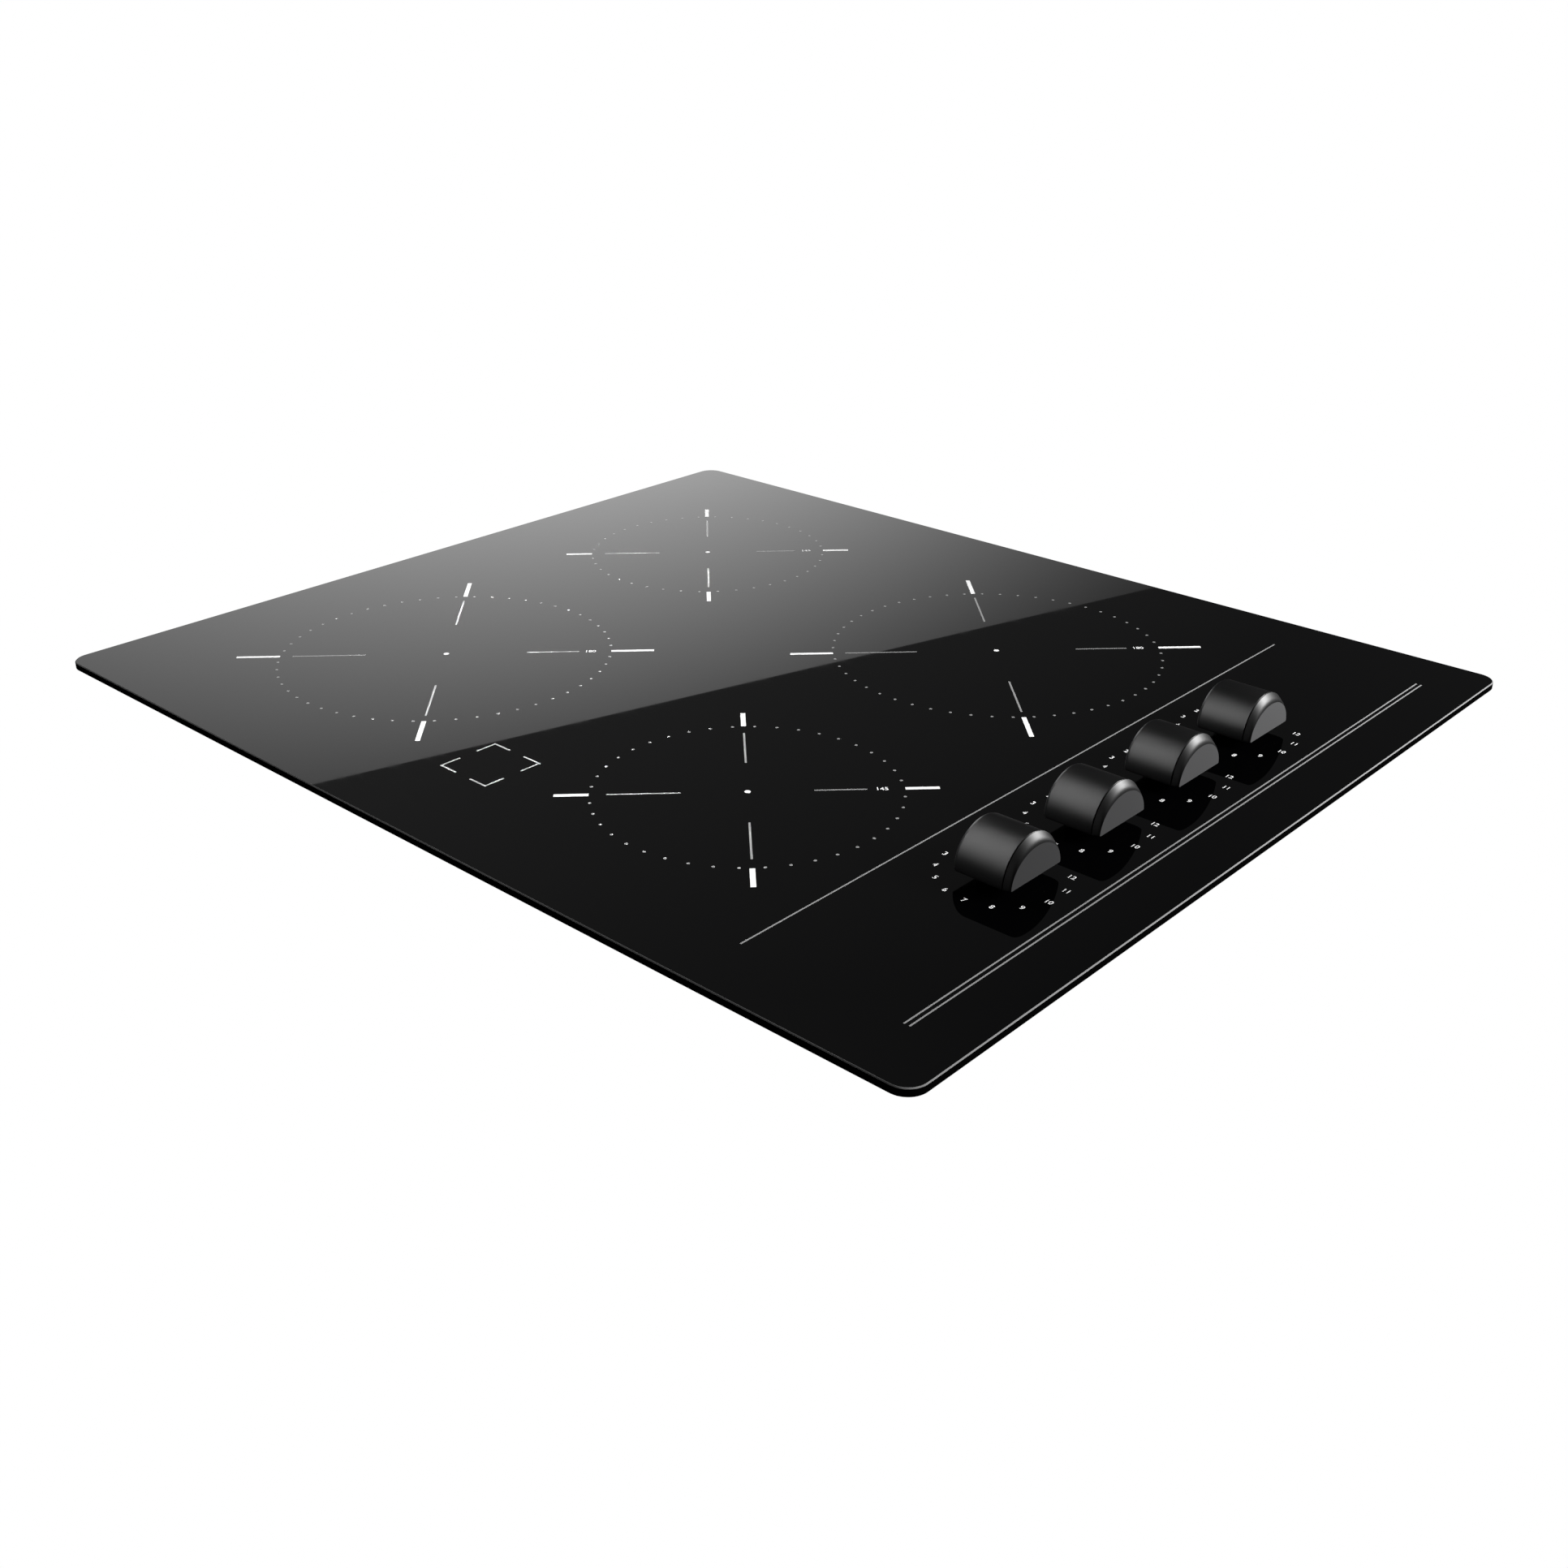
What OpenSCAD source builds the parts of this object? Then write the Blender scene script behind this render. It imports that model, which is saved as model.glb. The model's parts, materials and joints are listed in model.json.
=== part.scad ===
// Built-in electric induction cooktop with four zones and four rotary knobs.
// Millimetres. Origin: middle of the tray's underside. +X right, +Y back, +Z up.

/* [Glass] */
// Width of the glass top, left to right
glass_w = 600; // [590:1:620]
// Depth of the glass top, front to back
glass_d = 510; // [505:1:525]
// Thickness of the glass top
glass_t = 4; // [4:0.5:6]
// Radius of the glass corners
glass_r = 10; // [6:1:14]
// Width of the polished arris round the top edge
glass_bevel = 0.5; // [0.3:0.1:1.5]

/* [Tray] */
// Width of the steel tray that hangs in the worktop
tray_w = 556; // [550:1:560]
// Depth of the tray, front to back
tray_d = 486; // [482:1:490]
// Height of the tray walls
tray_h = 49; // [48:0.5:52]
// Thickness of the sheet steel
sheet = 0.8; // [0.6:0.1:1]
// Thickness of the foam seal under the glass rim
seal_t = 1.5; // [1:0.1:1.9]

/* [Zones] */
// Winding radius of a large coil
large_coil_r = 85; // [80:1:88]
// Winding radius of a small coil
small_coil_r = 68; // [62:1:71]
// Back left zone, sideways place
back_left_x = -166; // [-168:1:-160]
// Back left zone, front to back place
back_left_y = 116; // [112:1:118]
// Back right zone, sideways place
back_right_x = 74; // [73:1:80]
// Back right zone, front to back place
back_right_y = 104; // [100:1:106]
// Front left zone, sideways place
front_left_x = -151; // [-154:1:-148]
// Front left zone, front to back place
front_left_y = -108; // [-110:1:-104]
// Front right zone, sideways place
front_right_x = 93; // [91:1:96]
// Front right zone, front to back place
front_right_y = -120; // [-122:1:-116]

/* [Knobs] */
// Sideways place of the knob column
knob_x = 229.2; // [226:0.1:231]
// Front to back place of the first knob
knob_y = -103.4; // [-106:0.1:-100]
// Distance from one knob to the next
knob_pitch = 66.9; // [64:0.1:68]
// Radius of the half-round grip
grip_r = 19.6; // [18:0.1:21]
// Height of the flat underside of the grip above the glass
grip_lift = 5; // [4:0.1:7]
// Reach of the flat end face from the knob axis
face_x = 17.2; // [16.5:0.1:18.5]
// Reach of the rounded end from the knob axis
tail_x = 12.9; // [11:0.1:14]
// Radius of the spindle
spindle_r = 3; // [2.5:0.1:3.2]

/* [Fans] */
// Side of a fan frame
fan_side = 80; // [78:1:82]
// Height of a fan frame
fan_h = 25; // [22:1:27]
// Radius of the fan blades
blade_r = 36.5; // [34:0.5:36.5]

/* [Hidden] */
$fn = 96;

rail_t = 2;
glass_z = tray_h + rail_t;
top_z = glass_z + glass_t;
seal_w = 8;
seal_inset = 3;
tray_corner = 6;
wall_x = tray_w / 2;
wall_y = tray_d / 2;

carrier_t = 1.5;
carrier_z = glass_z - 14;
ferrite_h = 3.5;
former_z = carrier_z + carrier_t + ferrite_h;
former_t = 2;
mat_t = 2;
mat_z = glass_z - 2.5;
hub_r = 14;

ZONE_NAMES = ["back_left", "back_right", "front_left", "front_right"];
ZONES = [
    [back_left_x, back_left_y, small_coil_r],
    [back_right_x, back_right_y, large_coil_r],
    [front_left_x, front_left_y, large_coil_r],
    [front_right_x, front_right_y, small_coil_r]
];
LEFT_ZONES = [ZONES[0], ZONES[2]];
RIGHT_ZONES = [ZONES[1], ZONES[3]];

LEFT_POSTS = [for (x = [-240, -66], y = [-194, 25, 184]) [x, y]];
RIGHT_POSTS = [[22, -190], [162, -190], [-10, 25], [162, 25], [-10, 190], [162, 190]];
post_r = 4;

board_z = 8;
board_t = 1.6;
board_hole_inset = 6;
board_d = 190;
board_y = -80;
LEFT_BOARD = [-153, board_y, 150, board_d];
RIGHT_BOARD = [95, board_y, 140, board_d];
FILTER_BOARD = [236, 165, 70, 80];
heatsink_w = 50;
heatsink_d = 80;
heatsink_y = -30;
heatsink_h = 22;
FANS = [[-153, 110], [76, 110]];
FAN_NAMES = ["left", "right"];
fan_bore_r = 38;
fan_screw = 35.75;

bead_w = 8;
bead_h = 1.2;
// Floor beads: [x, middle y, length]
BEADS = concat(
    [for (b = [LEFT_BOARD, RIGHT_BOARD], side = [-38, 0, 38]) [b[0] + side, b[1], 130]],
    [[-27, 0, 290], [230, -30, 290], [-27, 205, 40], [-240, -85, 170], [-240, 105, 110]]
);

lamp_x = -20.3;
lamp_y = -183;
lamp_board_w = 56;
lamp_board_d = 46;
lamp_hole_inset = 5;
lamp_pitch = 8;
lamp_board_z = glass_z - 11;

inlet_x = 160;
inlet_z = 22;
inlet_r = 6;

bracket_z = glass_z - 15;
bracket_t = 1.5;
KNOBS = [for (i = [0:3]) [knob_x, knob_y + i * knob_pitch]];
grip_z = top_z + grip_lift;
cap_x = 13.4;
bush_r = 4.5;

screw_r = 1.9;
screw_hole_r = 2;
small_screw_r = 1.5;
small_hole_r = 1.6;
side_screw_z = tray_h - 7;
CLIP_Y = [-140, 140];
clip_t = 0.8;
END_SCREW_X = [-200, 0, 200];

// ---- shared shapes ----

module rounded_rect(w, d, r) {
    square([w - 2 * r, d], center = true);
    square([w, d - 2 * r], center = true);
    for (x = [-1, 1], y = [-1, 1])
        translate([x * (w / 2 - r), y * (d / 2 - r)])
            circle(r);
}

module rounded_plate(w, d, r, t) {
    linear_extrude(t)
        rounded_rect(w, d, r);
}

module tube(r_out, r_in, h) {
    difference() {
        cylinder(r = r_out, h = h);
        translate([0, 0, -1])
            cylinder(r = r_in, h = h + 2);
    }
}

// Corner places of a rectangle, inset from its edges
function corners(w, d, inset) =
    [for (x = [-1, 1], y = [-1, 1]) [x * (w / 2 - inset), y * (d / 2 - inset)]];

// A pan-head screw: head above z = 0, shank below it
module screw(shank_r, shank_l, head_r, head_h) {
    cylinder(r = head_r, h = head_h);
    translate([0, 0, -shank_l])
        cylinder(r = shank_r, h = shank_l + 0.5);
}

// Children once for each side-wall screw, with +Z pointing out of the wall
module at_side_screws() {
    for (s = [-1, 1], y = concat(CLIP_Y, [0]))
        translate([s * wall_x, y, side_screw_z])
            rotate([0, s * 90, 0])
                children();
}

// Children once for each front or back wall screw, with +Z pointing out of the wall
module at_end_screws() {
    for (s = [-1, 1], x = END_SCREW_X)
        translate([x, s * wall_y, side_screw_z])
            rotate([-s * 90, 0, 0])
                children();
}

// ---- glass and the rim that carries it ----

// Plate with a bevelled top edge: prisms for the straight edges, cones for the corners
module bevelled_plate(w, d, r, t, bevel) {
    low = t - bevel;
    rounded_plate(w, d, r, low);
    translate([0, d / 2 - r, low])
        rotate([90, 0, 0])
            linear_extrude(d - 2 * r)
                polygon([[-w / 2, 0], [w / 2, 0], [w / 2 - bevel, bevel], [bevel - w / 2, bevel]]);
    translate([r - w / 2, 0, low])
        rotate([90, 0, 90])
            linear_extrude(w - 2 * r)
                polygon([[-d / 2, 0], [d / 2, 0], [d / 2 - bevel, bevel], [bevel - d / 2, bevel]]);
    for (p = corners(w, d, r))
        translate([p[0], p[1], low])
            cylinder(r1 = r, r2 = r - bevel, h = bevel);
}

module glass_top() {
    color([0.03, 0.03, 0.035])
        difference() {
            translate([0, 0, glass_z])
                bevelled_plate(glass_w, glass_d, glass_r, glass_t, glass_bevel);
            for (k = KNOBS)
                translate([k[0], k[1], glass_z - 1])
                    cylinder(r = 6, h = glass_t + 2);
        }
}

module edge_seal() {
    long = glass_w - 2 * seal_inset;
    joint_gap = 0.5;
    short = glass_d - 2 * (seal_inset + seal_w + joint_gap);
    mid_x = (glass_w - seal_w) / 2 - seal_inset;
    mid_y = (glass_d - seal_w) / 2 - seal_inset;
    color([0.12, 0.12, 0.12])
        translate([0, 0, glass_z - seal_t])
            linear_extrude(seal_t)
                intersection() {
                    rounded_rect(long, glass_d - 2 * seal_inset, glass_r - seal_inset);
                    for (s = [-1, 1]) {
                        translate([0, s * mid_y])
                            square([long, seal_w], center = true);
                        translate([s * mid_x, 0])
                            square([seal_w, short], center = true);
                    }
                }
}

// One angle rail: a leg glued under the glass and a leg inside the tray wall, along +Y
module angle_rail(length, wall) {
    rail_w = 15;
    leg_h = 12;
    translate([0, length / 2, 0])
        rotate([90, 0, 0])
            linear_extrude(length)
                polygon([
                    [wall + 1, tray_h], [wall + 1, glass_z], [wall + 1 - rail_w, glass_z],
                    [wall + 1 - rail_w, tray_h], [wall - sheet - rail_t, tray_h],
                    [wall - sheet - rail_t, tray_h - leg_h], [wall - sheet, tray_h - leg_h],
                    [wall - sheet, tray_h]
                ]);
}

module glass_rails() {
    color([0.75, 0.76, 0.78])
        difference() {
            union() {
                for (a = [0, 180])
                    rotate(a)
                        angle_rail(tray_d - 50, wall_x);
                for (a = [90, 270])
                    rotate(a)
                        angle_rail(tray_w - 50, wall_y);
            }
            at_side_screws()
                translate([0, 0, -8])
                    cylinder(r = screw_hole_r, h = 10);
            at_end_screws()
                translate([0, 0, -8])
                    cylinder(r = screw_hole_r, h = 10);
        }
}

// ---- tray ----

// Slots cut to a circle under one fan, where the air comes in
module intake_slots() {
    slot_w = 4;
    pitch = 8;
    reach = fan_bore_r - 2;
    for (i = [-4:4])
        let (y = i * pitch, half = sqrt(reach * reach - y * y))
            translate([-half, y - slot_w / 2, -1])
                cube([2 * half, slot_w, sheet + 2]);
}

// Row of upright slots in the front wall, where the warm air leaves
module exhaust_slots() {
    slot_w = 4;
    slot_h = 18;
    slot_z = 10;
    pitch = 9;
    middle = -30;
    for (i = [-22:22])
        translate([middle + i * pitch - slot_w / 2, -wall_y - 1, slot_z])
            cube([slot_w, sheet + 2, slot_h]);
}

// Straight bar with round ends along +Y, centred at the origin
module round_bar(w, l, h) {
    linear_extrude(h) {
        square([w, l - w], center = true);
        for (s = [-1, 1])
            translate([0, s * (l - w) / 2])
                circle(w / 2);
    }
}

// Stiffening beads pressed up into the floor: each is a ridge inside and a groove below
module floor_ridges() {
    for (b = BEADS)
        translate([b[0], b[1], sheet / 2])
            round_bar(bead_w + 2 * sheet, b[2] + 2 * sheet, bead_h + sheet / 2);
}

module floor_grooves() {
    for (b = BEADS)
        translate([b[0], b[1], -1])
            round_bar(bead_w, b[2], bead_h + 1);
}

module bottom_tray() {
    color([0.70, 0.71, 0.72])
        difference() {
            union() {
                difference() {
                    rounded_plate(tray_w, tray_d, tray_corner, tray_h);
                    translate([0, 0, sheet])
                        rounded_plate(tray_w - 2 * sheet, tray_d - 2 * sheet, tray_corner - sheet, tray_h);
                }
                floor_ridges();
            }
            floor_grooves();
            for (f = FANS)
                translate([f[0], f[1], 0])
                    intake_slots();
            exhaust_slots();
            translate([inlet_x, wall_y + 2, inlet_z])
                rotate([90, 0, 0])
                    cylinder(r = inlet_r + 3, h = sheet + 4);
            at_side_screws()
                translate([0, 0, -3])
                    cylinder(r = screw_hole_r, h = 5);
            at_end_screws()
                translate([0, 0, -3])
                    cylinder(r = screw_hole_r, h = 5);
        }
}

// Leaf spring that grips the edge of the worktop cut-out: a flat leg on the tray wall,
// folded at its foot into a leaf that bows out and back
module worktop_clip() {
    clip_w = 18;
    foot = 12;
    bow = [6.6, 22];
    tip = [3.8, 31];
    difference() {
        translate([0, clip_w / 2, 0])
            rotate([90, 0, 0])
                linear_extrude(clip_w)
                    polygon([
                        [0, foot], [1.2, foot - 0.6], bow, tip, tip - [0.8, 0.2],
                        bow - [1, 0], [clip_t, foot + 1.4], [clip_t, tray_h - 2], [0, tray_h - 2]
                    ]);
        translate([-1, 0, side_screw_z])
            rotate([0, 90, 0])
                cylinder(r = screw_hole_r, h = clip_t + 2);
    }
}

module worktop_clips() {
    color([0.62, 0.63, 0.65])
        for (a = [0, 180], y = CLIP_Y)
            rotate(a)
                translate([wall_x, y, 0])
                    worktop_clip();
}

module tray_screws() {
    head_r = 3.8;
    head_h = 2.2;
    color([0.55, 0.55, 0.57]) {
        for (s = [-1, 1], y = concat(CLIP_Y, [0]))
            translate([s * (wall_x + (y == 0 ? 0 : clip_t)), y, side_screw_z])
                rotate([0, s * 90, 0])
                    screw(screw_r, 5, head_r, head_h);
        at_end_screws()
            screw(screw_r, 4.5, head_r, head_h);
    }
}

// Bush in the back wall that the mains cable comes in through
module cable_inlet() {
    flange_r = inlet_r + 6;
    color([0.08, 0.08, 0.08])
        translate([inlet_x, wall_y, inlet_z])
            rotate([-90, 0, 0])
                rotate_extrude()
                    polygon([
                        [inlet_r, -6], [flange_r - 1, -6], [flange_r - 1, -sheet],
                        [inlet_r + 3, -sheet], [inlet_r + 3, 0], [flange_r, 0],
                        [flange_r, 2.5], [inlet_r + 2, 4], [inlet_r + 2, 8], [inlet_r, 8]
                    ]);
}

// ---- coils ----

module carrier_left_outline() {
    translate([-153, -5])
        rounded_rect(194, 398, 5);
}

// The right carrier steps back round the indicator lamp
module carrier_right_outline() {
    translate([76, 105])
        rounded_rect(192, 190, 5);
    translate([94, -80])
        rounded_rect(156, 240, 5);
}

module coil_carrier_left() {
    color([0.80, 0.81, 0.83])
        translate([0, 0, carrier_z])
            linear_extrude(carrier_t)
                carrier_left_outline();
}

module coil_carrier_right() {
    color([0.80, 0.81, 0.83])
        translate([0, 0, carrier_z])
            linear_extrude(carrier_t)
                carrier_right_outline();
}

module carrier_posts() {
    color([0.9, 0.9, 0.86])
        for (p = concat(LEFT_POSTS, RIGHT_POSTS))
            translate([p[0], p[1], sheet])
                cylinder(r = post_r, h = carrier_z - sheet);
}

// Moulded dish that holds one winding, with a hub round the sensor
module coil_former(zone) {
    lip = 1.5;
    gap = 0.5;
    r = zone[2] + gap;
    top = mat_z - former_z;
    color([0.86, 0.84, 0.78])
        translate([zone[0], zone[1], former_z])
            rotate_extrude()
                polygon([
                    [hub_r, 0], [r + lip, 0], [r + lip, top], [r, top], [r, former_t],
                    [hub_r + 2, former_t], [hub_r + 2, top], [hub_r, top]
                ]);
}

// Flat pancake of litz wire: one ridge for each turn
module coil_winding(zone) {
    inner = hub_r + 4;
    wire = 3.2;
    turns = floor((zone[2] - inner) / wire);
    ridge = concat(
        [for (i = [0:turns - 1]) each [
            [inner + i * wire, 1.2], [inner + (i + 0.25) * wire, 2.8],
            [inner + (i + 0.75) * wire, 2.8]
        ]],
        [[inner + turns * wire, 1.2]]
    );
    color([0.72, 0.42, 0.22])
        translate([zone[0], zone[1], former_z + former_t])
            rotate_extrude()
                polygon(concat([[inner, 0]], ridge, [[inner + turns * wire, 0]]));
}

module ferrite_bars(zone) {
    bar_w = 10;
    first = hub_r + 10;
    color([0.18, 0.18, 0.19])
        translate([zone[0], zone[1], carrier_z + carrier_t])
            for (a = [0:45:315])
                rotate(a + 22.5)
                    translate([first, -bar_w / 2, 0])
                        cube([zone[2] - first - 2, bar_w, ferrite_h]);
}

module mat_holes(zones) {
    for (z = zones)
        translate([z[0], z[1]])
            circle(6);
}

module insulation_mat_left() {
    color([0.88, 0.86, 0.80])
        translate([0, 0, mat_z])
            linear_extrude(mat_t)
                difference() {
                    carrier_left_outline();
                    mat_holes(LEFT_ZONES);
                }
}

module insulation_mat_right() {
    color([0.88, 0.86, 0.80])
        translate([0, 0, mat_z])
            linear_extrude(mat_t)
                difference() {
                    carrier_right_outline();
                    mat_holes(RIGHT_ZONES);
                }
}

// Temperature sensors that stand on the carriers and touch the glass
module zone_sensors() {
    stand_h = mat_z - 2 - carrier_z - carrier_t;
    color([0.93, 0.93, 0.9])
        for (z = ZONES)
            translate([z[0], z[1], carrier_z + carrier_t]) {
                cylinder(r = 8, h = 1.5);
                cylinder(r = 3, h = stand_h + 0.5);
                translate([0, 0, stand_h])
                    cylinder(r = 5, h = glass_z - mat_z + 2);
            }
}

// ---- electronics ----

module board(b) {
    difference() {
        translate([b[0] - b[2] / 2, b[1] - b[3] / 2, board_z])
            cube([b[2], b[3], board_t]);
        for (p = corners(b[2], b[3], board_hole_inset))
            translate([b[0] + p[0], b[1] + p[1], board_z - 1])
                cylinder(r = small_hole_r, h = board_t + 2);
    }
}

// Parts soldered to a board: a row of relays, a controller and a wire connector
module board_parts(b) {
    relay = [12, 16, 9];
    relay_pitch = 18;
    controller = [28, 22, 3];
    connector = [14, 40, 8];
    left = b[0] - b[2] / 2;
    front = b[1] - b[3] / 2;
    top = board_z + board_t;
    for (i = [0:3])
        translate([left + 8 + i * relay_pitch, front + 16, top])
            cube(relay);
    translate([b[0] + 12, front + 29, top])
        cube(controller);
    translate([left + b[2] - 8 - connector[0], front + 14, top])
        cube(connector);
}

module power_board(b) {
    color([0.10, 0.36, 0.20]) {
        board(b);
        board_parts(b);
    }
}

module filter_board() {
    color([0.10, 0.36, 0.20])
        board(FILTER_BOARD);
}

// Extruded heatsink, fins along the air stream
module heatsink(b) {
    base = 4;
    fins = 9;
    fin_t = 1.6;
    step = (heatsink_w - fin_t) / (fins - 1);
    color([0.78, 0.79, 0.81])
        translate([b[0] - heatsink_w / 2, heatsink_y + heatsink_d / 2 - 2, board_z + board_t])
            rotate([90, 0, 0])
                linear_extrude(heatsink_d)
                    union() {
                        square([heatsink_w, base]);
                        for (i = [0:fins - 1])
                            translate([i * step, base - 0.5])
                                square([fin_t, heatsink_h - base + 0.5]);
                    }
}

// Power transistors clamped along both sides of each heatsink, on three legs each
module transistors() {
    case = [5, 16, 17];
    leg = [1, 1.5, 4.5];
    lift = 4;
    color([0.12, 0.12, 0.13])
        for (b = [LEFT_BOARD, RIGHT_BOARD], s = [-1, 1], y = [-50, -18])
            translate([b[0] + s * (heatsink_w + case[0]) / 2, y, board_z + board_t]) {
                translate([-case[0] / 2, -case[1] / 2, lift])
                    cube(case);
                for (row = [-5, 0, 5])
                    translate([-leg[0] / 2, row - leg[1] / 2, 0])
                        cube(leg);
            }
}

// Can capacitors left of each heatsink, box capacitors right of it, and one on the filter
module capacitors() {
    can_r = 11;
    can_h = 22;
    box = [16, 28, 20];
    filter_box = [18, 26, 18];
    top = board_z + board_t;
    color([0.16, 0.17, 0.26]) {
        for (b = [LEFT_BOARD, RIGHT_BOARD], y = [-66, -38, -10])
            translate([b[0] - b[2] / 2 + 16, y, top])
                cylinder(r = can_r, h = can_h);
        for (b = [LEFT_BOARD, RIGHT_BOARD], y = [-72, -40, -8])
            translate([b[0] + b[2] / 2 - 30, y, top])
                cube(box);
        translate([FILTER_BOARD[0] + 8, FILTER_BOARD[1] - 34, top])
            cube(filter_box);
    }
}

// Ring choke that lies on the filter board
module mains_choke() {
    ring_r = 13;
    wound_r = 6;
    color([0.70, 0.40, 0.20])
        translate([FILTER_BOARD[0] - 4, FILTER_BOARD[1] + 16, board_z + board_t + wound_r])
            rotate_extrude()
                translate([ring_r, 0])
                    circle(wound_r);
}

module board_spacers() {
    spacer_r = 3.5;
    color([0.92, 0.92, 0.88]) {
        for (b = [LEFT_BOARD, RIGHT_BOARD, FILTER_BOARD], p = corners(b[2], b[3], board_hole_inset))
            translate([b[0] + p[0], b[1] + p[1], sheet])
                tube(spacer_r, small_hole_r, board_z - sheet);
        for (p = corners(lamp_board_w, lamp_board_d, lamp_hole_inset))
            translate([lamp_x + p[0], lamp_y + p[1], sheet])
                tube(spacer_r, small_hole_r, lamp_board_z - sheet);
    }
}

module inner_screws() {
    color([0.6, 0.6, 0.62]) {
        for (b = [LEFT_BOARD, RIGHT_BOARD, FILTER_BOARD], p = corners(b[2], b[3], board_hole_inset))
            translate([b[0] + p[0], b[1] + p[1], board_z + board_t])
                screw(small_screw_r, board_z - 1, 3, 2);
        for (p = corners(lamp_board_w, lamp_board_d, lamp_hole_inset))
            translate([lamp_x + p[0], lamp_y + p[1], lamp_board_z + board_t])
                screw(small_screw_r, 8, 3, 2);
        for (f = FANS, p = corners(2 * fan_screw, 2 * fan_screw, 0))
            translate([f[0] + p[0], f[1] + p[1], sheet + fan_h])
                screw(small_screw_r, fan_h - 1, 3.2, 2);
    }
}

// Covers that turn the air from the fans along the heatsinks, open at the front
module air_ducts() {
    wall = 1.5;
    inner_w = fan_side + 4;
    front = 18;
    back = 154;
    top = 33;
    color([0.2, 0.2, 0.21])
        for (f = FANS)
            translate([f[0], 0, 0])
                difference() {
                    translate([-inner_w / 2 - wall, front, sheet])
                        cube([inner_w + 2 * wall, back - front, top - sheet]);
                    translate([-inner_w / 2, front - 1, 0])
                        cube([inner_w, back - front + 1 - wall, top - wall]);
                }
}

module terminal_block() {
    ways = 6;
    way = 8;
    length = ways * way + 4;
    color([0.85, 0.85, 0.82])
        translate([236 - length / 2, 213, sheet])
            difference() {
                cube([length, 18, 20]);
                for (i = [0:ways - 1])
                    translate([3.5 + i * way, -1, 4])
                        cube([5, 9, 8]);
                for (i = [0:ways - 1])
                    translate([3.5 + i * way, 10, 13])
                        cube([5, 9, 8]);
            }
}

// ---- fans ----

module fan_frame(f) {
    base = 3;
    color([0.11, 0.11, 0.12])
        translate([f[0], f[1], sheet]) {
            difference() {
                rounded_plate(fan_side, fan_side, 4, fan_h);
                translate([0, 0, -1])
                    cylinder(r = fan_bore_r, h = fan_h + 2);
                for (p = corners(2 * fan_screw, 2 * fan_screw, 0))
                    translate([p[0], p[1], -1])
                        cylinder(r = 2.2, h = fan_h + 2);
            }
            difference() {
                union() {
                    cylinder(r = 14, h = base);
                    cylinder(r = 4, h = 15);
                    for (a = [30:120:270])
                        rotate(a)
                            translate([10, -2.5, 0])
                                cube([fan_bore_r - 9.5, 5, base]);
                }
                translate([0, 0, 1.2])
                    cylinder(r = 1.55, h = 20);
            }
        }
}

module fan_rotor(f) {
    blades = 7;
    low = 5.5;
    high = fan_h - 2;
    mid = (low + high) / 2;
    color([0.16, 0.16, 0.17])
        translate([f[0], f[1], sheet]) {
            difference() {
                translate([0, 0, 4])
                    cylinder(r = 16, h = fan_h - 5);
                translate([0, 0, 3])
                    cylinder(r = 14.5, h = fan_h - 5.5);
            }
            translate([0, 0, 5])
                cylinder(r = 1.5, h = fan_h - 7);
            intersection() {
                translate([0, 0, low])
                    tube(blade_r, 15.2, high - low);
                for (i = [0:blades - 1])
                    rotate(i * 360 / blades)
                        translate([26, 0, mid])
                            rotate([42, 0, 0])
                                cube([25, 1.8, 30], center = true);
            }
        }
}

// ---- indicator lamp ----

// Small board with one lamp for each zone
module indicator_board() {
    lamp = 5;
    color([0.10, 0.36, 0.20])
        translate([lamp_x, lamp_y, lamp_board_z]) {
            difference() {
                translate([-lamp_board_w / 2, -lamp_board_d / 2, 0])
                    cube([lamp_board_w, lamp_board_d, board_t]);
                for (p = corners(lamp_board_w, lamp_board_d, lamp_hole_inset))
                    translate([p[0], p[1], -1])
                        cylinder(r = small_hole_r, h = board_t + 2);
            }
            for (x = [-1, 1], y = [-1, 1])
                translate([x * lamp_pitch - lamp / 2, y * lamp_pitch - lamp / 2, board_t - 0.2])
                    cube([lamp, lamp, 2.2]);
        }
}

// Block with one light well for each zone's lamp
module light_guide() {
    side = 34;
    well = 14;
    color([0.92, 0.92, 0.9])
        translate([lamp_x, lamp_y, lamp_board_z + board_t])
            difference() {
                translate([-side / 2, -side / 2, 0])
                    cube([side, side, glass_z - lamp_board_z - board_t]);
                for (x = [-1, 1], y = [-1, 1])
                    translate([x * lamp_pitch - well / 2, y * lamp_pitch - well / 2, -1])
                        cube([well, well, 8]);
            }
}

// ---- selectors under the glass ----

module selector_bracket() {
    wide = 44;
    near = knob_y - 26;
    far = knob_y + 3 * knob_pitch + 26;
    leg_h = glass_z - bracket_z;
    foot = 10;
    color([0.72, 0.73, 0.75])
        difference() {
            translate([knob_x + wide / 2, 0, 0])
                rotate([90, 0, -90])
                    linear_extrude(wide)
                        polygon([
                            [-near, bracket_z], [-near, glass_z - bracket_t],
                            [-near + foot, glass_z - bracket_t], [-near + foot, glass_z],
                            [-near - bracket_t, glass_z], [-near - bracket_t, bracket_z + bracket_t],
                            [-far + bracket_t, bracket_z + bracket_t], [-far + bracket_t, glass_z],
                            [-far - foot, glass_z], [-far - foot, glass_z - bracket_t],
                            [-far, glass_z - bracket_t], [-far, bracket_z]
                        ]);
            for (k = KNOBS)
                translate([k[0], k[1], bracket_z - 1])
                    cylinder(r = bush_r + 0.1, h = bracket_t + 2);
        }
}

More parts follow.
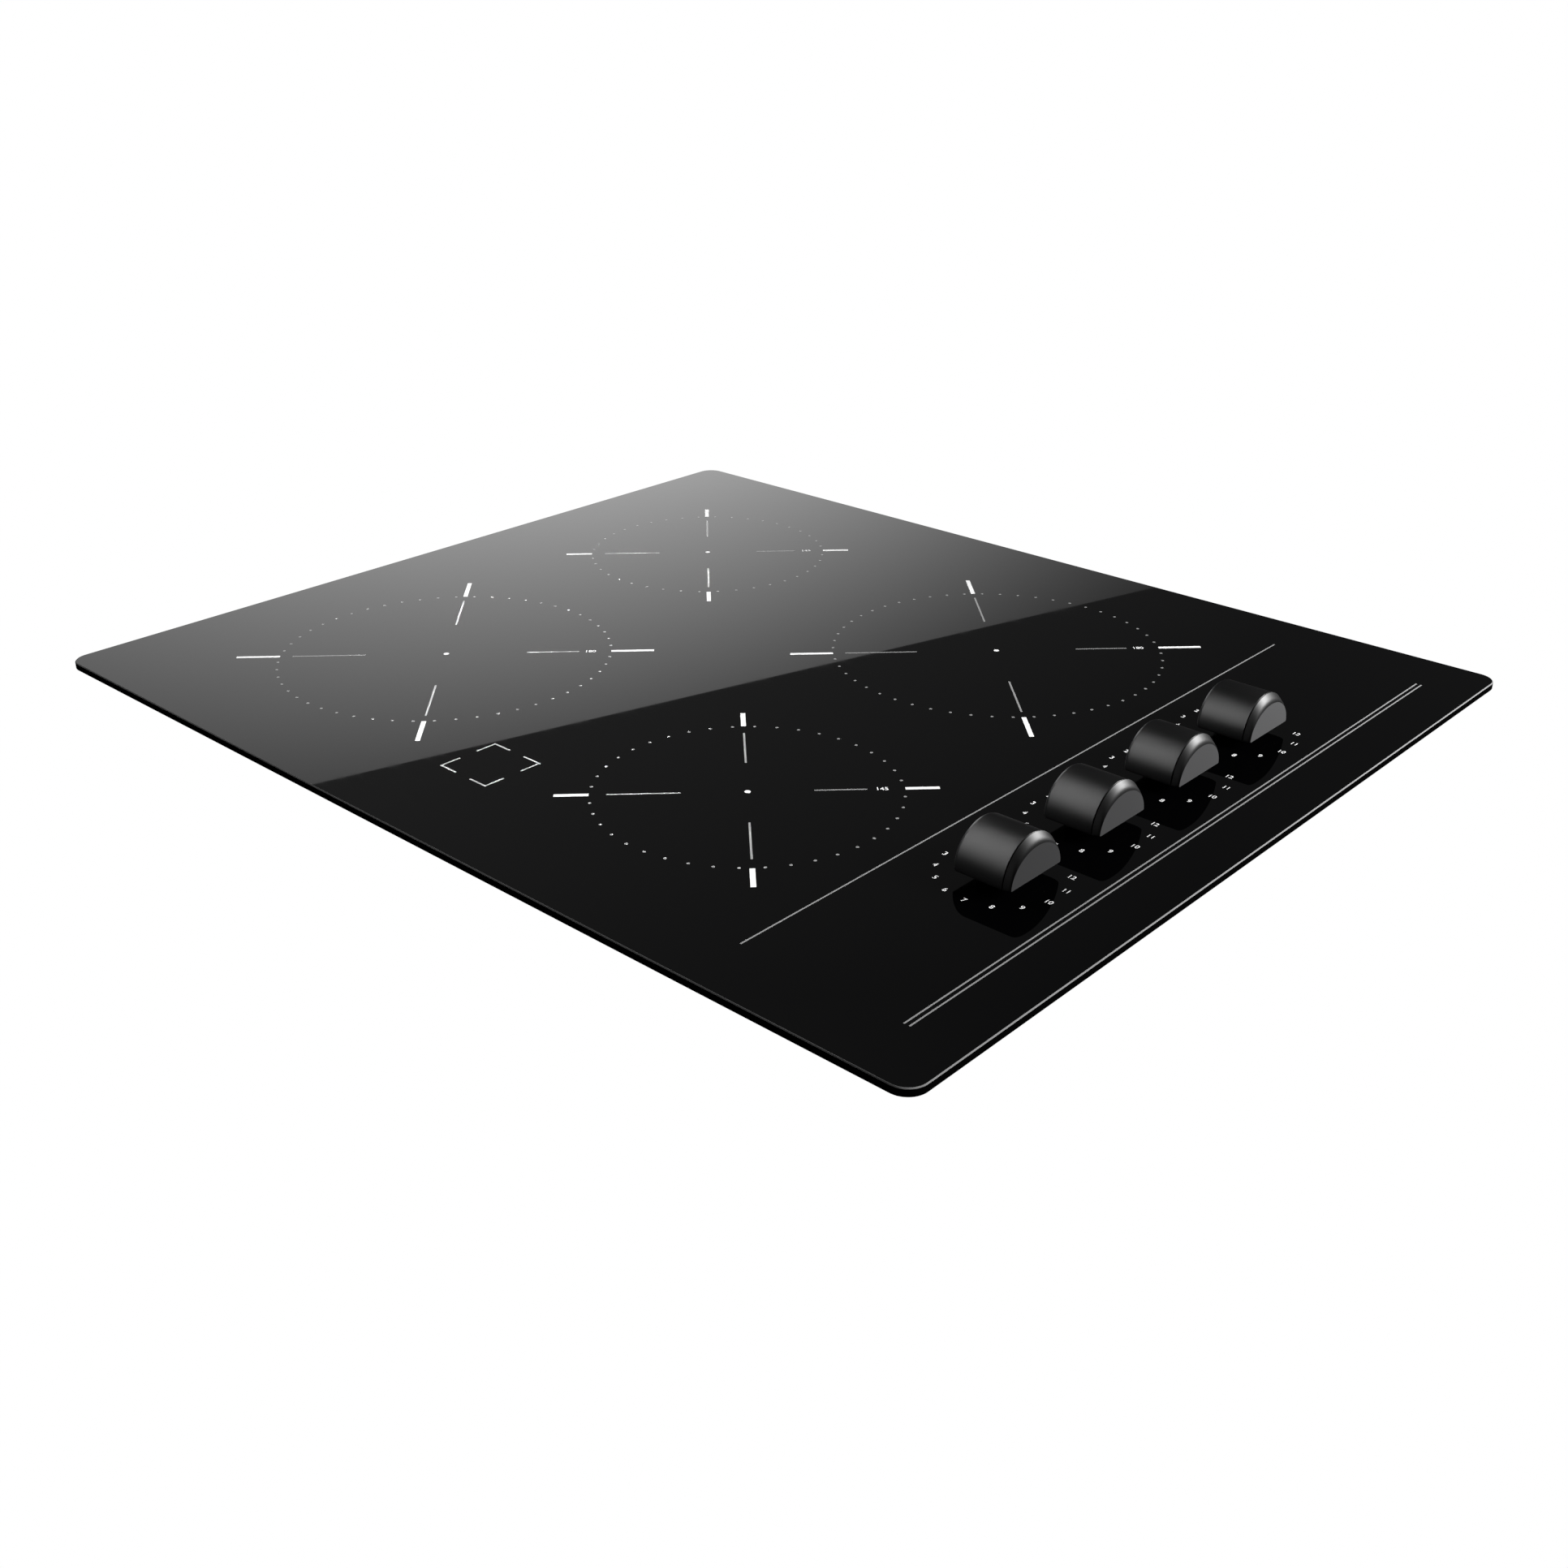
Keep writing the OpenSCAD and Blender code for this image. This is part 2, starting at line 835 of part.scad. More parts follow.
// Rotary selector switches: body, threaded bush and a bore for the spindle
module selectors() {
    body_h = 12;
    color([0.25, 0.32, 0.45])
        for (k = KNOBS)
            translate([k[0], k[1], bracket_z])
                difference() {
                    union() {
                        translate([-10, -10, -body_h])
                            cube([20, 20, body_h]);
                        cylinder(r = bush_r, h = 7);
                    }
                    translate([0, 0, 1.5 - body_h])
                        cylinder(r = spindle_r + 0.05, h = body_h + 7);
                }
}

module selector_nuts() {
    color([0.7, 0.7, 0.72])
        for (k = KNOBS)
            translate([k[0], k[1], bracket_z + bracket_t])
                difference() {
                    cylinder(r = 7.5, h = 2.5, $fn = 6);
                    translate([0, 0, -1])
                        cylinder(r = bush_r, h = 5);
                }
}

// Rubber bushes that line the glass holes and keep spills out
module shaft_seals() {
    bore = spindle_r + 0.4;
    color([0.06, 0.06, 0.06])
        for (k = KNOBS)
            translate([k[0], k[1], glass_z])
                rotate_extrude()
                    polygon([
                        [bore, -1], [9, -1], [9, 0], [6, 0], [6, glass_t],
                        [9, glass_t], [9, glass_t + 0.9], [bore, glass_t + 0.9]
                    ]);
}

// ---- knobs ----

// Half-round bar along +X: profile is a list of [x, radius] turned about the grip axis
module half_round(profile) {
    reach = 2 * grip_r;
    intersection() {
        rotate([90, 0, 90])
            rotate_extrude()
                polygon([for (p = profile) [p[1], p[0]]]);
        translate([-reach, -reach, 0])
            cube([2 * reach, 2 * reach, reach]);
    }
}

module knob_grip(k) {
    rounding = 2;
    skirt_h = grip_lift - 1.4;
    color([0.06, 0.06, 0.065])
        translate([k[0], k[1], grip_z])
            difference() {
                union() {
                    half_round([
                        [-tail_x, 0], [-tail_x, grip_r - rounding], [rounding - tail_x, grip_r],
                        [cap_x, grip_r], [cap_x, 0]
                    ]);
                    translate([0, 0, -skirt_h])
                        cylinder(r = 11, h = skirt_h + 1);
                }
                translate([0, 0, -skirt_h - 1])
                    cylinder(r = spindle_r, h = skirt_h + 13);
            }
}

module knob_cap(k) {
    groove = 0.9;
    color([0.16, 0.16, 0.17])
        translate([k[0], k[1], grip_z])
            half_round([
                [cap_x, 0], [cap_x, grip_r - 1.6], [cap_x + groove, grip_r - 1.6],
                [cap_x + groove, grip_r - 0.3], [face_x, grip_r - 1.8], [face_x, 0]
            ]);
}

module knob_spindle(k) {
    low = bracket_z - 9;
    color([0.75, 0.76, 0.78])
        translate([k[0], k[1], low])
            cylinder(r = spindle_r, h = grip_z + 12 - low);
}

// ---- nodes ----

glass_top();
edge_seal();
glass_rails();
bottom_tray();
worktop_clips();
tray_screws();
coil_carrier_left();
coil_carrier_right();
carrier_posts();
insulation_mat_left();
insulation_mat_right();
zone_sensors();
for (i = [0:3]) {
    coil_former(ZONES[i]);
    coil_winding(ZONES[i]);
    ferrite_bars(ZONES[i]);
}
power_board(LEFT_BOARD);  // power_board_left
power_board(RIGHT_BOARD);  // power_board_right
filter_board();
heatsink(LEFT_BOARD);  // heatsink_left
heatsink(RIGHT_BOARD);  // heatsink_right
transistors();
capacitors();
mains_choke();
board_spacers();
inner_screws();
air_ducts();
terminal_block();
cable_inlet();
indicator_board();
light_guide();
selector_bracket();
selectors();
selector_nuts();
shaft_seals();
for (i = [0:1]) {
    fan_frame(FANS[i]);
    fan_rotor(FANS[i]);
}
for (i = [0:3]) {
    knob_grip(KNOBS[i]);
    knob_cap(KNOBS[i]);
    knob_spindle(KNOBS[i]);
}
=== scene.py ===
import json
import math

import bmesh
import bpy
from mathutils import Matrix, Vector


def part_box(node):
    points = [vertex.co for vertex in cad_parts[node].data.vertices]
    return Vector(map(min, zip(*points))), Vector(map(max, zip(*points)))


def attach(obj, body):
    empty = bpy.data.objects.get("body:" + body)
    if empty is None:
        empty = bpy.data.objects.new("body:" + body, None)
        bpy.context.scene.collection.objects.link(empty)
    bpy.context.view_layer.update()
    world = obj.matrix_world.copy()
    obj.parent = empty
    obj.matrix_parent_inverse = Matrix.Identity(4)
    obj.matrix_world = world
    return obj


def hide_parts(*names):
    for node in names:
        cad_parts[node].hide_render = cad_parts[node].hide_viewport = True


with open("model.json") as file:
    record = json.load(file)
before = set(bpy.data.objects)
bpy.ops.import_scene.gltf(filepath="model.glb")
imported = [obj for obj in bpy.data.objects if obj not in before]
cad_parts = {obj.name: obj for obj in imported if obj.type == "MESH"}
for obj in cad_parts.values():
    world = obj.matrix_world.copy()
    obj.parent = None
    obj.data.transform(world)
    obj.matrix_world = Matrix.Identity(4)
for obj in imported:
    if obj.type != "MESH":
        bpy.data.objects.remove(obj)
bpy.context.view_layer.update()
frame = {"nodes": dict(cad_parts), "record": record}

MM = 0.001

# ---- places, all worked out from the frame ----

GLASS_LOW, GLASS_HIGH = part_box("glass_top")
GLASS_MIDDLE = (GLASS_LOW + GLASS_HIGH) / 2
TOP_Z = GLASS_HIGH.z
GLASS_TOP = Vector((GLASS_MIDDLE.x, GLASS_MIDDLE.y, TOP_Z))
WORKTOP_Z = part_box("edge_seal")[0].z
ZONES = ("back_left", "back_right", "front_left", "front_right")
KNOBS = (1, 2, 3, 4)


def centre_of(node):
    low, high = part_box(node)
    return (low + high) / 2


def knob_centre(number):
    """The point where a knob's axis meets the glass."""
    middle = centre_of(f"knob_{number}_spindle")
    return Vector((middle.x, middle.y, TOP_Z))


# ---- node trees ----

# The mix node has sockets for every kind of value. These are its colour ones.
MIX_FIRST, MIX_SECOND, MIX_RESULT = 6, 7, 2
COAT_ROUGHNESS = 0.1


class Tree:
    """The nodes of a material or world, with short calls for what the looks are made of."""

    def __init__(self, owner):
        self.nodes = owner.node_tree.nodes
        self.links = owner.node_tree.links

    def add(self, kind):
        return self.nodes.new(kind)

    def link(self, source, target):
        self.links.new(source, target)

    def put(self, value, socket):
        """Links a node's output to the socket, or sets the socket to a plain number."""
        if isinstance(value, bpy.types.NodeSocket):
            self.link(value, socket)
        else:
            socket.default_value = value

    def show(self, shader, output="ShaderNodeOutputMaterial"):
        """Makes this shader the surface of the material or world."""
        self.link(shader, self.add(output).inputs["Surface"])

    def math(self, operation, a, b=0.0, c=None):
        node = self.add("ShaderNodeMath")
        node.operation = operation
        self.put(a, node.inputs[0])
        self.put(b, node.inputs[1])
        if c is not None:
            self.put(c, node.inputs[2])
        return node.outputs["Value"]

    def coords(self, scale=(1, 1, 1), turn=(0, 0, 0)):
        """Places on the object, stretched and turned."""
        coord = self.add("ShaderNodeTexCoord")
        mapping = self.add("ShaderNodeMapping")
        mapping.inputs["Scale"].default_value = scale
        mapping.inputs["Rotation"].default_value = turn
        self.link(coord.outputs["Object"], mapping.inputs["Vector"])
        return mapping.outputs["Vector"]

    def axis(self, name, kind="Object"):
        """The X, Y or Z of the place that is being shaded."""
        coord = self.add("ShaderNodeTexCoord")
        split = self.add("ShaderNodeSeparateXYZ")
        self.link(coord.outputs[kind], split.inputs["Vector"])
        return split.outputs[name]

    def noise(self, scale, detail=3.0, stretch=(1, 1, 1), turn=(0, 0, 0)):
        node = self.add("ShaderNodeTexNoise")
        node.inputs["Scale"].default_value = scale
        node.inputs["Detail"].default_value = detail
        self.link(self.coords(stretch, turn), node.inputs["Vector"])
        return node.outputs["Fac"]

    def cells(self, scale, feature="F1", output="Distance"):
        node = self.add("ShaderNodeTexVoronoi")
        node.feature = feature
        node.inputs["Scale"].default_value = scale
        self.link(self.coords(), node.inputs["Vector"])
        return node.outputs[output]

    def span(self, value, low, high, from_low=0.0, from_high=1.0):
        """Turns the values between from_low and from_high into low to high, and goes no further."""
        node = self.add("ShaderNodeMapRange")
        self.put(value, node.inputs["Value"])
        node.inputs["From Min"].default_value = from_low
        node.inputs["From Max"].default_value = from_high
        node.inputs["To Min"].default_value = low
        node.inputs["To Max"].default_value = high
        return node.outputs["Result"]

    def blend(self, factor, first, second):
        """Mixes two colours, each a node's output or three numbers."""
        node = self.add("ShaderNodeMix")
        node.data_type = "RGBA"
        self.put(factor, node.inputs[0])
        for value, number in ((first, MIX_FIRST), (second, MIX_SECOND)):
            colour = (*value, 1.0) if isinstance(value, tuple) else value
            self.put(colour, node.inputs[number])
        return node.outputs[MIX_RESULT]

    def bump(self, height, distance, strength=1.0):
        node = self.add("ShaderNodeBump")
        node.inputs["Strength"].default_value = strength
        node.inputs["Distance"].default_value = distance
        self.link(height, node.inputs["Height"])
        return node.outputs["Normal"]


def empty_material(name):
    """A material with no nodes yet: returns it and its tree."""
    mat = bpy.data.materials.new(name)
    mat.use_nodes = True
    tree = Tree(mat)
    tree.nodes.clear()
    return mat, tree


def look(name, metallic=0.0, coat=0.0, specular=0.5):
    """A fresh material with a Principled shader: returns its material, tree and shader."""
    mat, tree = empty_material(name)
    shader = tree.add("ShaderNodeBsdfPrincipled")
    shader.inputs["Metallic"].default_value = metallic
    shader.inputs["Specular IOR Level"].default_value = specular
    shader.inputs["Coat Weight"].default_value = coat
    shader.inputs["Coat Roughness"].default_value = COAT_ROUGHNESS
    tree.show(shader.outputs["BSDF"])
    return mat, tree, shader


def shade(colour, factor):
    """The same colour, darker or lighter."""
    return tuple(c * factor for c in colour)


# ---- camera and stage ----

CAMERA_FROM_GLASS = Vector((0.6095, -0.6607, 0.3729))
AIM_FROM_GLASS = Vector((0.1002, -0.1023, 0.0))
LENS = 40.545
SENSOR = 36.0
CLIP_NEAR, CLIP_FAR = 0.01, 100.0
WHITE, BLACK = (1.0, 1.0, 1.0), (0.0, 0.0, 0.0)
STAGE_REACH = 30.0
BACKDROP_REACH = 0.99 * STAGE_REACH
GLOW_REACH = 0.95 * STAGE_REACH
DOME_SEGMENTS, DOME_RINGS = 48, 24
AIR_ABOVE = 0.01
AIR_STRAIGHT_DOWN, AIR_AT_HORIZON = 0.70, 0.25
UNDER_GLOW = 0.35
UNDER_GAP = 1 * MM
SEAL_CORNER = 7 * MM


def make_camera():
    data = bpy.data.cameras.new("camera")
    data.lens = LENS
    data.sensor_width = SENSOR
    data.clip_start = CLIP_NEAR
    data.clip_end = CLIP_FAR
    camera = bpy.data.objects.new("camera", data)
    camera.location = GLASS_TOP + CAMERA_FROM_GLASS
    sight = AIM_FROM_GLASS - CAMERA_FROM_GLASS
    camera.rotation_mode = "QUATERNION"
    camera.rotation_quaternion = sight.to_track_quat("-Z", "Y")
    bpy.context.scene.collection.objects.link(camera)
    bpy.context.scene.camera = camera


def add_object(name, mesh):
    obj = bpy.data.objects.new(name, mesh)
    bpy.context.scene.collection.objects.link(obj)
    return obj


def hide_from(obj, *ways):
    """Takes the object out of these kinds of ray."""
    for way in ways:
        setattr(obj, "visible_" + way, False)


def glow(name, colour, strength):
    """A plain stage material that shines evenly."""
    mat, tree = empty_material(name)
    mat.cycles.emission_sampling = "NONE"
    emission = tree.add("ShaderNodeEmission")
    emission.inputs["Color"].default_value = (*colour, 1.0)
    emission.inputs["Strength"].default_value = strength
    tree.show(emission.outputs["Emission"])
    return mat


def add_sheet(name, mat, z):
    """A flat stage sheet at this height. Its hole follows the seal under the glass."""
    low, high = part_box("edge_seal")
    far = STAGE_REACH
    rim_corners = ((-far, -far), (far, -far), (far, far), (-far, far))
    bm = bmesh.new()
    hole = add_ring(bm, [(x, y, z) for x, y in rounded_outline(low, high, SEAL_CORNER, 0.0)])
    rim = add_ring(bm, [(x, y, z) for x, y in rim_corners])
    for ring in (hole, rim):
        for i in range(len(ring)):
            bm.edges.new((ring[i], ring[i - 1]))
    bmesh.ops.triangle_fill(bm, use_beauty=True, edges=bm.edges)
    mesh = bpy.data.meshes.new(name)
    bm.to_mesh(mesh)
    bm.free()
    mesh.materials.append(mat)
    sheet = add_object(name, mesh)
    return sheet


def make_floor():
    """A pale worktop, a black sheet in the same place that only stops and mirrors light, and a
    grey one under it that lights the tray's sides."""
    floor = add_sheet("floor", glow("floor_white", WHITE, 1.0), WORKTOP_Z)
    hide_from(floor, "glossy", "diffuse", "shadow")
    flag = add_sheet("floor_flag", glow("floor_black", BLACK, 0.0), WORKTOP_Z)
    hide_from(flag, "camera")
    under = add_sheet("floor_under", glow("floor_grey", WHITE, UNDER_GLOW), WORKTOP_Z - UNDER_GAP)
    hide_from(under, "camera")


def add_dome(name, mat, radius):
    """A sphere round the whole stage."""
    bm = bmesh.new()
    bmesh.ops.create_uvsphere(bm, u_segments=DOME_SEGMENTS, v_segments=DOME_RINGS, radius=radius)
    mesh = bpy.data.meshes.new(name)
    bm.to_mesh(mesh)
    bm.free()
    mesh.materials.append(mat)
    dome = add_object(name, mesh)
    return dome


def make_backdrop():
    """A white dome round the stage that only the camera sees."""
    dome = add_dome("backdrop", glow("backdrop_white", WHITE, 1.0), BACKDROP_REACH)
    hide_from(dome, "glossy", "diffuse", "transmission", "shadow", "volume_scatter")


def make_world():
    """Studio air: nearly black above the worktop and pale below it."""
    world = bpy.data.worlds.new("studio")
    bpy.context.scene.world = world
    world.use_nodes = True
    tree = Tree(world)
    tree.nodes.clear()
    rise = tree.axis("Z", "Generated")
    below = tree.span(rise, AIR_STRAIGHT_DOWN, AIR_AT_HORIZON, from_low=-1.0, from_high=0.0)
    side = tree.math("GREATER_THAN", rise, 0.0)
    background = tree.add("ShaderNodeBackground")
    tree.link(tree.blend(side, below, (AIR_ABOVE,) * 3), background.inputs["Strength"])
    tree.show(background.outputs["Background"], "ShaderNodeOutputWorld")


# Strength of the mirrored glow at two heights on its dome, and what multiplies it left and right.
GLOW_LOW, GLOW_HIGH = 0.04, 0.10
GLOW_LOW_AT, GLOW_HIGH_AT = 0.55 * GLOW_REACH, 0.80 * GLOW_REACH
GLOW_LEFT, GLOW_RIGHT = 2.4, 0.8
GLOW_LEFT_AT, GLOW_RIGHT_AT = -0.75 * GLOW_REACH, -0.40 * GLOW_REACH


def make_glow_dome():
    """A clear dome with a dim glow for the glass to mirror: brighter overhead and to the left."""
    mat, tree = empty_material("glow_dome")
    mat.cycles.emission_sampling = "NONE"
    rise = tree.axis("Z")
    above = tree.span(rise, GLOW_LOW, GLOW_HIGH, GLOW_LOW_AT, GLOW_HIGH_AT)
    left = tree.span(tree.axis("X"), GLOW_LEFT, GLOW_RIGHT, GLOW_LEFT_AT, GLOW_RIGHT_AT)
    side = tree.math("GREATER_THAN", rise, 0.0)
    emission = tree.add("ShaderNodeEmission")
    strength = tree.math("MULTIPLY", tree.math("MULTIPLY", above, left), side)
    tree.link(strength, emission.inputs["Strength"])
    clear = tree.add("ShaderNodeBsdfTransparent")
    both = tree.add("ShaderNodeAddShader")
    tree.link(emission.outputs["Emission"], both.inputs[0])
    tree.link(clear.outputs["BSDF"], both.inputs[1])
    tree.show(both.outputs["Shader"])
    dome = add_dome("glow_dome", mat, GLOW_REACH)
    hide_from(dome, "camera", "diffuse", "transmission", "shadow", "volume_scatter")
    return dome


# The board hangs over the line through CARD_FOOT along CARD_ALONG, from CARD_FROM to CARD_TO on it
# and from CARD_LOW to CARD_HIGH above the glass. Its strength is CARD_PEAK at the height
# CARD_FADE_FROM, falls by CARD_FADE for each metre up and rises as fast below, to CARD_LIMIT at
# most. It falls off along the line on both sides of CARD_BRIGHTEST.
CARD_FOOT = Vector((-1.043, 2.213, 0.0))
CARD_ALONG = Vector((0.2832, 0.9591, 0.0))
CARD_FROM, CARD_TO = -3.0, 0.6
CARD_LOW, CARD_HIGH = 0.38, 0.80
CARD_PEAK = 1.45
CARD_LIMIT = 1.1 * CARD_PEAK
CARD_FADE = 2.55
CARD_FADE_FROM = 0.479
CARD_BRIGHTEST = -1.2
CARD_SPREAD = 1.0


def make_card():
    """A lit board left of the hob. Its mirror image is the grey sweep across the glass."""
    mesh = bpy.data.meshes.new("light_board")
    size = CARD_TO - CARD_FROM
    corners = [(0, 0, CARD_LOW), (size, 0, CARD_LOW), (size, 0, CARD_HIGH), (0, 0, CARD_HIGH)]
    mesh.from_pydata(corners, [], [(0, 1, 2, 3)])
    mat, tree = empty_material("light_board")
    fade = tree.math("SUBTRACT", tree.axis("Z"), CARD_FADE_FROM)
    fade = tree.math("MULTIPLY_ADD", fade, -CARD_FADE, CARD_PEAK)
    fade = tree.math("MINIMUM", fade, CARD_LIMIT)
    side = tree.math("SUBTRACT", tree.axis("X"), CARD_BRIGHTEST - CARD_FROM)
    side = tree.math("DIVIDE", side, CARD_SPREAD)
    side = tree.math("MULTIPLY", side, side)
    side = tree.math("MULTIPLY", side, -1.0)
    side = tree.math("EXPONENT", side)
    emission = tree.add("ShaderNodeEmission")
    tree.link(tree.math("MULTIPLY", fade, side), emission.inputs["Strength"])
    tree.show(emission.outputs["Emission"])
    mesh.materials.append(mat)
    card = add_object("light_board", mesh)
    foot = CARD_FOOT + CARD_ALONG * CARD_FROM
    card.location = (foot.x, foot.y, TOP_Z)
    card.rotation_euler = (0, 0, math.atan2(CARD_ALONG.y, CARD_ALONG.x))
    hide_from(card, "camera")
    return card


# Each lamp is a place counted from the middle of the glass top, a width and a power in watts.
CAP_LAMP = (Vector((0.427, 0.331, 0.275)), 0.11, 3.6)
TAIL_LAMP = (Vector((-0.55, 0.30, 0.30)), 0.35, 1.7)
EDGE_LAMP = (Vector((0.90, 0.30, 0.40)), 0.3, 22.0)
PRINT_LAMP = (Vector((-0.45, 0.15, 0.90)), 0.6, 7.0)
UNDER_LAMP_FRONT = (Vector((0.55, -0.90, -1.00)), 0.9, 3.0)
UNDER_LAMP_BACK = (Vector((-0.80, 0.85, -0.90)), 0.9, 3.0)

# The front softbox is three lamps, one behind the other, each a width and a power.
SOFTBOX_AT = Vector((0.04, -0.24, 0.31))
SOFTBOX = ((0.24, 0.19), (0.42, 1.05), (0.62, 1.45))
SOFTBOX_AWAY = Vector((-0.36, -0.34, 0.87))
SOFTBOX_STEP = 4 * MM


def add_light(name, aim, kind):
    """A soft square lamp that looks at a point."""
    place, width, power = kind
    data = bpy.data.lights.new(name, "AREA")
    data.shape = "SQUARE"
    data.size = width
    data.energy = power
    lamp = bpy.data.objects.new(name, data)
    lamp.location = GLASS_TOP + place
    lamp.rotation_mode = "QUATERNION"
    lamp.rotation_quaternion = (aim - lamp.location).to_track_quat("-Z", "Y")
    hide_from(lamp, "camera")
    bpy.context.scene.collection.objects.link(lamp)
    return lamp


def make_knob_lamps():
    """A near softbox over the front for the grips, brightest in its middle, a small lamp behind
    right for the caps and one on the left for the rounded ends. They light what is seen directly,
    and no mirror image."""
    aim = knob_centre(2)
    lamps = []
    for i, (width, power) in enumerate(SOFTBOX):
        place = SOFTBOX_AT + SOFTBOX_AWAY * SOFTBOX_STEP * i
        lamps.append(add_light(f"front_softbox_{i}", aim, (place, width, power)))
    lamps.append(add_light("cap_lamp", aim, CAP_LAMP))
    lamps.append(add_light("tail_lamp", aim, TAIL_LAMP))
    for lamp in lamps:
        lamp.data.cycles.max_bounces = 0
        lamp.data.cycles.use_multiple_importance_sampling = False
    return lamps


def make_edge_lamp():
    """A lamp behind right that lights the glass only diffusely: on the bevel's painted highlight tone it
    draws the pale line along the ground bevel of the glass.
    """
    lamp = add_light("edge_lamp", GLASS_MIDDLE, EDGE_LAMP)
    hide_from(lamp, "glossy")
    return lamp


def make_under_lights():
    """Two lamps below the worktop, for the tray."""
    tray = centre_of("bottom_tray")
    add_light("under_lamp_front", tray, UNDER_LAMP_FRONT)
    add_light("under_lamp_back", tray, UNDER_LAMP_BACK)


def make_print_light():
    """A lamp high on the left that evens out the light on the prints."""
    lamp = add_light("print_lamp", GLASS_MIDDLE, PRINT_LAMP)
    hide_from(lamp, "glossy")
    return lamp


def light_only(name, sources, pieces):
    """Lets these light sources reach only these pieces."""
    group = bpy.data.collections.new(name)
    for piece in pieces:
        group.objects.link(piece)
    for source in sources:
        source.light_linking.receiver_collection = group


# ---- materials ----


def moulded(name, colour, roughness, grain=0.02 * MM, grain_scale=2500.0, tone=0.15, specular=0.5):
    """Moulded plastic: a fine spark-eroded grain, slow tone changes and a few rubbed spots."""
    mat, tree, shader = look(name, specular=specular)
    slow = tree.noise(18.0)
    tint = tree.blend(slow, shade(colour, 1 - tone), shade(colour, 1 + tone))
    rub = tree.span(tree.noise(60.0, detail=6.0), 0.0, 1.0, from_low=0.62, from_high=0.75)
    tree.link(tree.blend(rub, tint, shade(colour, 1 + 2 * tone)), shader.inputs["Base Color"])
    rough = tree.span(slow, roughness - 0.04, roughness + 0.04)
    tree.link(tree.math("MULTIPLY_ADD", rub, -0.06, rough), shader.inputs["Roughness"])
    fine = tree.noise(grain_scale, detail=2.0)
    tree.link(tree.bump(fine, grain, strength=0.6), shader.inputs["Normal"])
    return mat


def drawn_metal(name, colour, roughness, stretch, line_scale=900.0):
    """Metal with fine lines along one way, as rolling, drawing or turning leaves them."""
    mat, tree, shader = look(name, metallic=1.0)
    lines = tree.noise(line_scale, stretch=stretch)
    slow = tree.noise(25.0)
    tint = tree.blend(slow, shade(colour, 0.9), colour)
    tree.link(tree.blend(lines, tint, shade(colour, 1.06)), shader.inputs["Base Color"])
    rough = tree.span(lines, roughness - 0.06, roughness + 0.08)
    tree.link(tree.math("MULTIPLY_ADD", slow, 0.08, rough), shader.inputs["Roughness"])
    tree.link(tree.bump(lines, 0.01 * MM, strength=0.5), shader.inputs["Normal"])
    return mat


def galvanised(name, colour):
    """Zinc-coated sheet with its flat crystals, each a little lighter or darker than the next."""
    mat, tree, shader = look(name, metallic=1.0)
    crystal = tree.cells(110.0, output="Color")
    tone = tree.add("ShaderNodeSeparateXYZ")
    tree.link(crystal, tone.inputs["Vector"])
    flat = tree.blend(tone.outputs["X"], shade(colour, 0.78), shade(colour, 1.08))
    stain = tree.span(tree.noise(9.0, detail=5.0), 0.0, 0.5, from_low=0.5, from_high=0.8)
    tree.link(tree.blend(stain, flat, shade(colour, 0.72)), shader.inputs["Base Color"])
    rough = tree.span(tone.outputs["Y"], 0.30, 0.46)
    tree.link(tree.math("MULTIPLY_ADD", stain, 0.2, rough), shader.inputs["Roughness"])
    height = tree.math("MULTIPLY_ADD", tone.outputs["Z"], 0.4, tree.noise(700.0))
    tree.link(tree.bump(height, 0.02 * MM, strength=0.5), shader.inputs["Normal"])
    return mat


def black_glass(name):
    """Black glass-ceramic, wiped clean: faint cloth marks in the gloss and no more."""
    mat, tree, shader = look(name)
    tone = tree.noise(3.0)
    colour = tree.blend(tone, (0.0002, 0.0002, 0.00025), (0.0006, 0.0006, 0.0007))
    tree.link(colour, shader.inputs["Base Color"])
    wipe = tree.noise(14.0, detail=6.0, stretch=(1, 6, 1), turn=(0, 0, 0.5))
    marks = tree.span(wipe, 0.0, 0.02, from_low=0.5, from_high=0.8)
    tree.link(tree.math("ADD", marks, 0.012), shader.inputs["Roughness"])
    return mat


def worked_edge(name, dark, light, roughness):
    """A ground or polished rim of the glass, with the grinder's fine lines."""
    mat, tree, shader = look(name)
    lines = tree.noise(600.0, detail=2.0, stretch=(1, 1, 8))
    tree.link(tree.blend(lines, (dark,) * 3, (light,) * 3), shader.inputs["Base Color"])
    tree.link(tree.span(lines, roughness - 0.05, roughness + 0.05), shader.inputs["Roughness"])
    tree.link(tree.bump(lines, 0.003 * MM, strength=0.3), shader.inputs["Normal"])
    return mat


def enamel(name, colour, smoothest, roughest):
    """Ceramic ink fired on the glass: slightly uneven in tone, with pin-holes in its gloss."""
    mat, tree, shader = look(name)
    patch = tree.noise(900.0)
    tree.link(tree.blend(patch, shade(colour, 0.86), colour), shader.inputs["Base Color"])
    tree.link(tree.span(patch, smoothest, roughest), shader.inputs["Roughness"])
    tree.link(tree.bump(patch, 0.004 * MM, strength=0.4), shader.inputs["Normal"])
    return mat


def foam(name, colour):
    """Closed-cell foam with bumped-in cells. Each cell is painted darker towards its middle as painted
    shade, between paler walls.
    """
    mat, tree, shader = look(name)
    cells_and_painted_shade = tree.cells(1400.0)
    # Painted shade: the middle of each cell is half the foam's colour, and the walls between are up to
    # half again brighter.
    tree.link(tree.blend(cells_and_painted_shade, shade(colour, 0.5), shade(colour, 1.5)), shader.inputs["Base Color"])
    tree.link(tree.span(cells_and_painted_shade, 0.8, 0.98), shader.inputs["Roughness"])
    tree.link(tree.bump(cells_and_painted_shade, 0.15 * MM, strength=0.8), shader.inputs["Normal"])
    return mat


